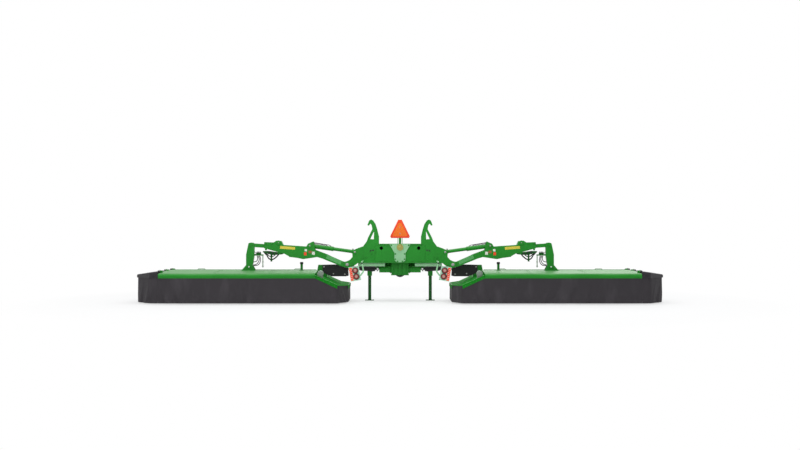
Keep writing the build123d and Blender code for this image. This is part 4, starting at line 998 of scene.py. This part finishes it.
class MOWER_OT_drives(bpy.types.Operator):
    """Fits the drive shafts: ribbed guard sleeves, end bells, cross journals and plate bolts"""
    bl_idname = "mower.drives"
    bl_label = "Drive shafts"

    def execute(self, context):
        def laid(shell):
            """A shell made along X, turned to the shaft's slope and moved to its joint."""
            return shell.turned(-DRIVE_ANGLE).moved(*DRIVE_BASE)

        along = np.linspace(0.0, 1.0, 49)
        bell = [(0.047, 0.088), (0.054, 0.09), (0.056, 0.1), (0.052, 0.118), (0.0485, 0.13)]
        waves = 6.0
        ripple = 0.0488 + 0.0012 * np.cos(along * 2.0 * np.pi * waves)
        sleeve = spun(bell + list(zip(ripple, 0.135 + along * 0.19)), "x", 32, 0.046)
        shaft = spun([(0.0385, 0.52), (0.042, 0.524), (0.042, 0.6), (0.05, 0.604),
                      (0.052, 0.616), (0.046, 0.619)], "x", 32, 0.036)
        journal = spun([(0.012, -0.034), (0.014, -0.0325), (0.014, 0.0325), (0.012, 0.034)],
                       "y", 16)
        journal += spun([(0.02, -0.0345), (0.02, 0.0345)], "y", 6)
        heads = bolts("-y", 0.017, (1.06, 1.06, 1.28, 1.46), -0.01, (0.52, 0.66, 0.53, 0.66))
        fit(("sleeve_ribs", "drive_sleeve", "black_plastic", laid(sleeve)),
            ("cross_journal", "drive_sleeve", "bright_steel", laid(journal)),
            ("shaft_guard", "drive_shaft", "black_plastic", laid(shaft)),
            ("plate_bolts", "unit", "zinc", heads))
        return {"FINISHED"}


class MOWER_OT_headstock(bpy.types.Operator):
    """Fits the headstock: pin ends, box flanges, cover rim, gearbox ribs, input shield, bolts"""
    bl_idname = "mower.headstock"
    bl_label = "Headstock"

    def execute(self, context):
        face = PLATE_REAR_Y
        (fold_x, fold_z), (lift_x, lift_z) = FOLD_PIN, LIFT_PIN
        pins = pin_end(0.022, 0.012, fold_x, face - 0.012, fold_z)
        pins += pin_end(0.014, 0.01, lift_x, face - 0.008, lift_z)
        bosses = boss(0.062, 0.005, 0.036, 0.008, 36, fold_x, face, fold_z)
        bosses += boss(0.04, 0.005, 0.024, 0.008, 32, lift_x, face, lift_z)
        bosses += plate(0.47, 0.93, 0.018, 0.33, face - 0.008, face + 0.001, 0.002)
        bosses += plate(0.57, 0.948, 0.03, 0.012, face - 0.006, face + 0.001, turn=60.0)
        keeper_y = face - 0.018
        bosses += plate(0.925, fold_z, 0.09, 0.03, keeper_y, face - 0.012, 0.001)
        bosses += bolts("-y", 0.018, 0.895, keeper_y, fold_z)
        bosses += bolts("-y", 0.022, (0.53, 0.64, 0.7, 0.52), face,
                        (0.915, 0.845, 0.845, 0.8))
        # Thin black discs on the plates' rear face: painted shade, standing in for the dark inside
        # of two bores.
        bore_shade = spun([(0.016, 0.0), (0.016, 0.002)], "y", 20).mirrored(1)
        bore_shades = bore_shade.at((0.512, 0.556), face, (0.984, 0.976))
        flange = plate(0.0, 1.101, 0.868, 0.012, face - 0.014, face + 0.02, 0.002)

        rim = spun([(0.062, 0.0), (0.062, 0.006), (0.054, 0.01), (0.05, 0.006)], "y", 40)
        hub = spun([(0.03, 0.0), (0.03, 0.01), (0.024, 0.014)], "y", 28)
        cover = (rim + hub).mirrored(1).moved(0.0, low("centre_cover")[1], 1.04)
        heads = bolts("-y", 0.018, (-0.165, 0.165, -0.088, 0.088, -0.088, 0.088, -0.045, 0.045),
                      face - 0.022, (1.078, 1.078, 0.915, 0.915, 0.815, 0.815, 0.775, 0.775))
        edge_x = np.concatenate([np.linspace(-0.4, -0.24, 4), np.linspace(0.24, 0.4, 4)])
        for z in (1.08, 0.78):
            heads += bolts("-y", 0.016, edge_x, face, z)

        rib = plate(0.0, 0.63, 0.012, 0.24, -0.076, -0.058, 0.002)
        ribs = rib.at((-0.12, -0.04, 0.04, 0.12), 0.0, 0.0)
        ribs += plate(0.0, 0.508, 0.34, 0.016, -0.07, 0.17, 0.003)
        drive_y, drive_z = DRIVE_BASE[1:]
        ring = spun([(0.078, 0.0), (0.082, 0.004), (0.082, 0.018), (0.07, 0.022)], "x", 32)
        ribs += ring.moved(0.166, drive_y, drive_z).on_both()
        around = circle(0.074, 8) + (drive_y, drive_z)
        for facing, x in (("x", 0.188), ("-x", -0.188)):
            heads += bolts(facing, 0.014, x, *around.T)

        shield = spun([(0.024, 0.16), (0.09, 0.16), (0.094, 0.166), (0.108, 0.27),
                       (0.104, 0.27), (0.088, 0.17), (0.024, 0.168)], "y", 40)
        teeth, steps = 6, 12
        turn = circle(1.0, teeth * steps)
        angle = np.arange(teeth * steps) / (teeth * steps) * 2.0 * np.pi
        radius = 0.0226 + 0.0018 * np.sign(np.cos(angle * teeth))
        splines = extruded(turn * radius[:, None] + (0.0, STUB_Z), "y", 0.19, 0.281, 0.002)

        link = spun([(0.03, 0.0), (0.044, 0.0), (0.046, 0.003), (0.046, 0.006), (0.03, 0.006)],
                    "x", 32).at((0.525, -0.531), 1.09, 0.62)
        link += spun([(0.022, 0.0), (0.036, 0.0), (0.036, 0.005), (0.022, 0.005)],
                     "x", 28).at((0.05, -0.055), 0.96, 1.305)
        clip = spun([(0.018, -0.012), (0.018, 0.012)], "z", 14)
        fit_middle(
            ("headstock_pins", "zinc", pins.on_both()),
            ("plate_bore_shades", "black_plastic", bore_shades.on_both()),
            ("headstock_bosses", "green_paint", bosses.on_both()),
            ("box_flanges", "green_paint", flange + flange.moved(0.0, 0.0, -0.348)),
            ("cover_rim", "brass_cap", cover),
            ("gearbox_ribs", "green_paint", ribs),
            ("input_shield", "black_plastic", shield.moved(0.0, 0.0, STUB_Z)),
            ("input_splines", "bright_steel", splines),
            ("headstock_bolts", "zinc", bolts("-y", 0.026, (0.59, -0.59), 0.285, 0.7)),
            ("link_rings", "green_paint", link + heads),
            ("bracket_clips", "black_rubber", clip.at((0.7, -0.7), -1.086, 0.76)))
        return {"FINISHED"}


class MOWER_OT_hydraulics(bpy.types.Operator):
    """Fits the front of the headstock: coupling blocks, capped couplings and their held hoses"""
    bl_idname = "mower.hydraulics"
    bl_label = "Hydraulics"

    def execute(self, context):
        face = BOX_FRONT_Y
        block = plate(0.24, 0.93, 0.18, 0.072, face - 0.001, face + 0.045, 0.003)
        block += bolts("y", 0.013, (0.16, 0.32), face + 0.045, 0.957)
        ports = ((0.185, 0.24, 0.295), face, 0.922)
        nipple = spun([(0.016, 0.04), (0.016, 0.06), (0.02, 0.062), (0.02, 0.08),
                       (0.014, 0.084)], "y", 20)
        cap = spun([(0.018, 0.078), (0.0225, 0.08), (0.0225, 0.098), (0.015, 0.105)], "y", 20)
        hoses = tubes(0.008, 0.03, 10, *(
            [(0.326, face + 0.022, z), (0.352, face + 0.03, z + 0.003),
             (x - 0.014, face + 0.034, z - 0.02), (x, face + 0.03, z - 0.075),
             (x, face - 0.004, z - 0.085)] for x, z in ((0.416, 0.946), (0.39, 0.914))))
        grommet = spun([(0.015, 0.0), (0.015, 0.004), (0.011, 0.006)], "y", 20)
        hoses += grommet.at((0.416, 0.39), face, (0.861, 0.829))
        fit_middle(("coupling_blocks", "dark_paint", block.on_both()),
                   ("couplings", "zinc", nipple.at(*ports).on_both()),
                   ("coupling_caps", "black_plastic", cap.at(*ports).on_both()),
                   ("front_hoses", "black_rubber", hoses.on_both()))
        return {"FINISHED"}


class MOWER_OT_lamps(bpy.types.Operator):
    """Dresses the lamp boards and the slow-vehicle triangle: rims, lenses, stripes, border"""
    bl_idname = "mower.lamps"
    bl_label = "Lamps and triangle"

    def execute(self, context):
        board_x, board_z, lean = 0.828, 0.568, 10.5
        lens_y = low("lamps")[1]
        face = lens_y + 0.028

        def leaned(shell):
            """A shell made about 0, turned by the board's lean and moved to its middle."""
            return shell.turned(lean).moved(board_x, 0.0, board_z)

        sheet = plate(0.062, 0.0, 0.054, 0.235, face - 0.0012, face)
        bar = plate(0.062, 0.0, 0.066, 0.005, face - 0.0018, face - 0.0011, turn=38.0)
        stripes = bar.at(0.0, 0.0, np.linspace(-0.084, 0.084, 5))
        edge = summed(plate(x, z, width, height, face - 0.003, face + 0.014, 0.001)
                      for x, z, width, height in ((0.0, 0.127, 0.186, 0.008),
                                                  (0.0, -0.127, 0.186, 0.008),
                                                  (-0.091, 0.0, 0.008, 0.262)))
        rim = spun([(0.047, 0.002), (0.052, -0.004), (0.0575, 0.0), (0.0575, 0.026),
                    (0.047, 0.026)], "y", 40)
        dome = np.linspace(0.0, 1.0, 9)
        lens = spun(list(zip(0.047 * np.cos(dome * 1.45), -0.01 * np.sin(dome * 1.57))), "y", 40)
        middle = spun([(0.024, -0.0085), (0.024, -0.011), (0.018, -0.0125)], "y", 28)
        spots = leaned(Shell([(-0.02, lens_y, 0.056), (-0.02, lens_y, -0.056)], [])).points.T
        screws = bolts("-y", 0.007, -0.08, face - 0.002, (0.115, -0.115))
        fit_middle(("lamp_sheets", "red_sheet", leaned(sheet).on_both()),
                   ("lamp_stripes", "white_film", leaned(stripes).on_both()),
                   ("board_edges", "mint_edge", leaned(edge).on_both()),
                   ("lamp_rims", "black_plastic", rim.at(*spots).on_both()),
                   ("lamp_lenses", "lamp_plastic", lens.at(*spots).on_both()),
                   ("lamp_middles", "pale_lens", middle.at(*spots).on_both()),
                   ("board_screws", "zinc", leaned(screws).on_both()))

        width, bottom, top = 0.376, 1.215, 1.565
        sign_y, back_y = low("slow_sign")[1], high("slow_sign")[1]

        def triangle(inset):
            """Outline with cut corners, every point drawn towards the middle by a share."""
            cut = width * 0.09
            outline = np.array([
                (-width / 2, bottom + cut), (-width / 2 + cut / 2, bottom),
                (width / 2 - cut / 2, bottom), (width / 2, bottom + cut), (cut, top), (-cut, top)])
            middle = np.array((0.0, bottom + (top - bottom) * 0.36))
            return middle + (outline - middle) * (1.0 - inset)

        border = np.stack([
            np.insert(triangle(inset), 1, sign_y + at, axis=1)
            for inset, at in ((0.02, -0.0025), (0.26, -0.0025), (0.26, 0.001), (0.02, 0.001))])
        fit_middle(
            ("sign_border", "red_sheet", woven(border[:, ::-1], ring=True)),
            ("sign_back", "zinc", extruded(triangle(0.01), "y", back_y - 0.0005, back_y + 0.0008)),
            ("sign_bolts", "zinc", bolts("-y", 0.014, 0.0, sign_y - 0.0005, (1.3, 1.42))))
        return {"FINISHED"}


class MOWER_OT_stage(bpy.types.Operator):
    """Sets the pale floor, the soft lights, the white surroundings and the camera"""
    bl_idname = "mower.stage"
    bl_label = "Stage"

    def execute(self, context):
        scene = context.scene
        scene.view_settings.view_transform = "Standard"
        white = {"Color": (1.0, 1.0, 1.0), "Strength": 1.0}

        rim = circle(60.0, 96)
        mesh = bpy.data.meshes.new("floor")
        mesh.from_pydata(np.insert(rim, 2, 0.0, axis=1).tolist(), [], [list(range(len(rim)))])
        made = bpy.data.objects.new("floor", mesh)
        scene.collection.objects.link(made)
        ground = Recipe("pale_floor", (0.86, 0.86, 0.86), 0.75)
        rays = ground.node("ShaderNodeLightPath")
        far = ground.out(ground.node("ShaderNodeVectorMath", {"operation": "LENGTH"},
                                     {0: ground.place}), "Value")
        lightening = (far - 4.0) * 0.3
        share = ground.background_rays(rays) * (0.5 + lightening.clamped() * 0.5)
        below = ground.out(rays, "Is Camera Ray") * ground.out(
            ground.node("ShaderNodeNewGeometry"), "Backfacing")
        pale = ground.mix_shaders(share.clamped(), ground.out(ground.shader),
                                  ground.out(ground.node("ShaderNodeEmission", {}, white)))
        clear = ground.out(ground.node("ShaderNodeBsdfTransparent"))
        ground.feed(ground.tree.nodes["Material Output"].inputs["Surface"],
                    ground.mix_shaders(below, pale, clear))
        mesh.materials.append(ground.material)

        world = bpy.data.worlds.new("surroundings")
        scene.world = world
        world.use_nodes = True
        around = Nodes(world.node_tree)
        sky = around.tree.nodes["Background"]
        around.feed(sky.inputs["Color"], (0.93, 0.96, 1.0))
        around.feed(sky.inputs["Strength"], 0.5)
        around.feed(around.tree.nodes["World Output"].inputs["Surface"], around.mix_shaders(
            around.background_rays(around.node("ShaderNodeLightPath")), around.out(sky),
            around.out(around.node("ShaderNodeBackground", {}, white))))

        for name, at, towards, size, power in (
                ("overhead_light", (0.0, -2.0, 9.0), (0.0, 0.0, 0.0), (16.0, 8.0), 720.0),
                ("rear_light", (-4.0, -14.0, 5.0), (0.0, 0.0, 0.6), (12.0, 5.0), 500.0),
                ("front_light", (3.0, 12.0, 6.0), (0.0, 0.0, 0.5), (12.0, 5.0), 380.0)):
            light = bpy.data.lights.new(name, "AREA")
            light.shape = "RECTANGLE"
            light.size, light.size_y = size
            light.energy = power
            held = bpy.data.objects.new(name, light)
            scene.collection.objects.link(held)
            held.location = at
            aim = Vector(towards) - Vector(at)
            held.rotation_euler = aim.to_track_quat("-Z", "Y").to_euler()

        focal_length, eye, upward_degrees = 53.96, (0.0, -23.05, 1.33), 0.335
        view = bpy.data.cameras.new("camera")
        view.lens = focal_length
        view.clip_end = 200.0
        held = bpy.data.objects.new("camera", view)
        scene.collection.objects.link(held)
        held.location = eye
        held.rotation_euler = (math.radians(90.0 + upward_degrees), 0.0, 0.0)
        scene.camera = held
        return {"FINISHED"}


class MOWER_PT_panel(bpy.types.Panel):
    """Lists the sizes, the colours and the pieces in the sidebar"""
    bl_idname = "MOWER_PT_panel"
    bl_label = "Disc mower conditioner"
    bl_space_type = "VIEW_3D"
    bl_region_type = "UI"
    bl_category = "Mower"

    def draw(self, context):
        for group in (context.scene.mower_sizes, context.scene.mower_colours):
            for name in group.__annotations__:
                self.layout.prop(group, name)
        for made in OPERATORS:
            self.layout.operator(made.bl_idname)


OPERATORS = (MOWER_OT_finishes, MOWER_OT_curtains, MOWER_OT_roofs, MOWER_OT_guards,
             MOWER_OT_booms, MOWER_OT_posts, MOWER_OT_cylinders, MOWER_OT_drives,
             MOWER_OT_headstock, MOWER_OT_hydraulics, MOWER_OT_lamps, MOWER_OT_stage)
CLASSES = (MowerSizes, MowerColours) + OPERATORS + (MOWER_PT_panel,)


def register():
    """Registers the classes and hangs the property groups on the scene."""
    for made in CLASSES:
        bpy.utils.register_class(made)
    bpy.types.Scene.mower_sizes = bpy.props.PointerProperty(type=MowerSizes)
    bpy.types.Scene.mower_colours = bpy.props.PointerProperty(type=MowerColours)


def unregister():
    """Takes the property groups and the classes away again."""
    del bpy.types.Scene.mower_sizes
    del bpy.types.Scene.mower_colours
    for made in reversed(CLASSES):
        bpy.utils.unregister_class(made)


def main():
    """Makes every piece in order."""
    register()
    for made in OPERATORS:
        group, action = made.bl_idname.split(".")
        getattr(getattr(bpy.ops, group), action)()


if __name__ == "__main__":
    main()
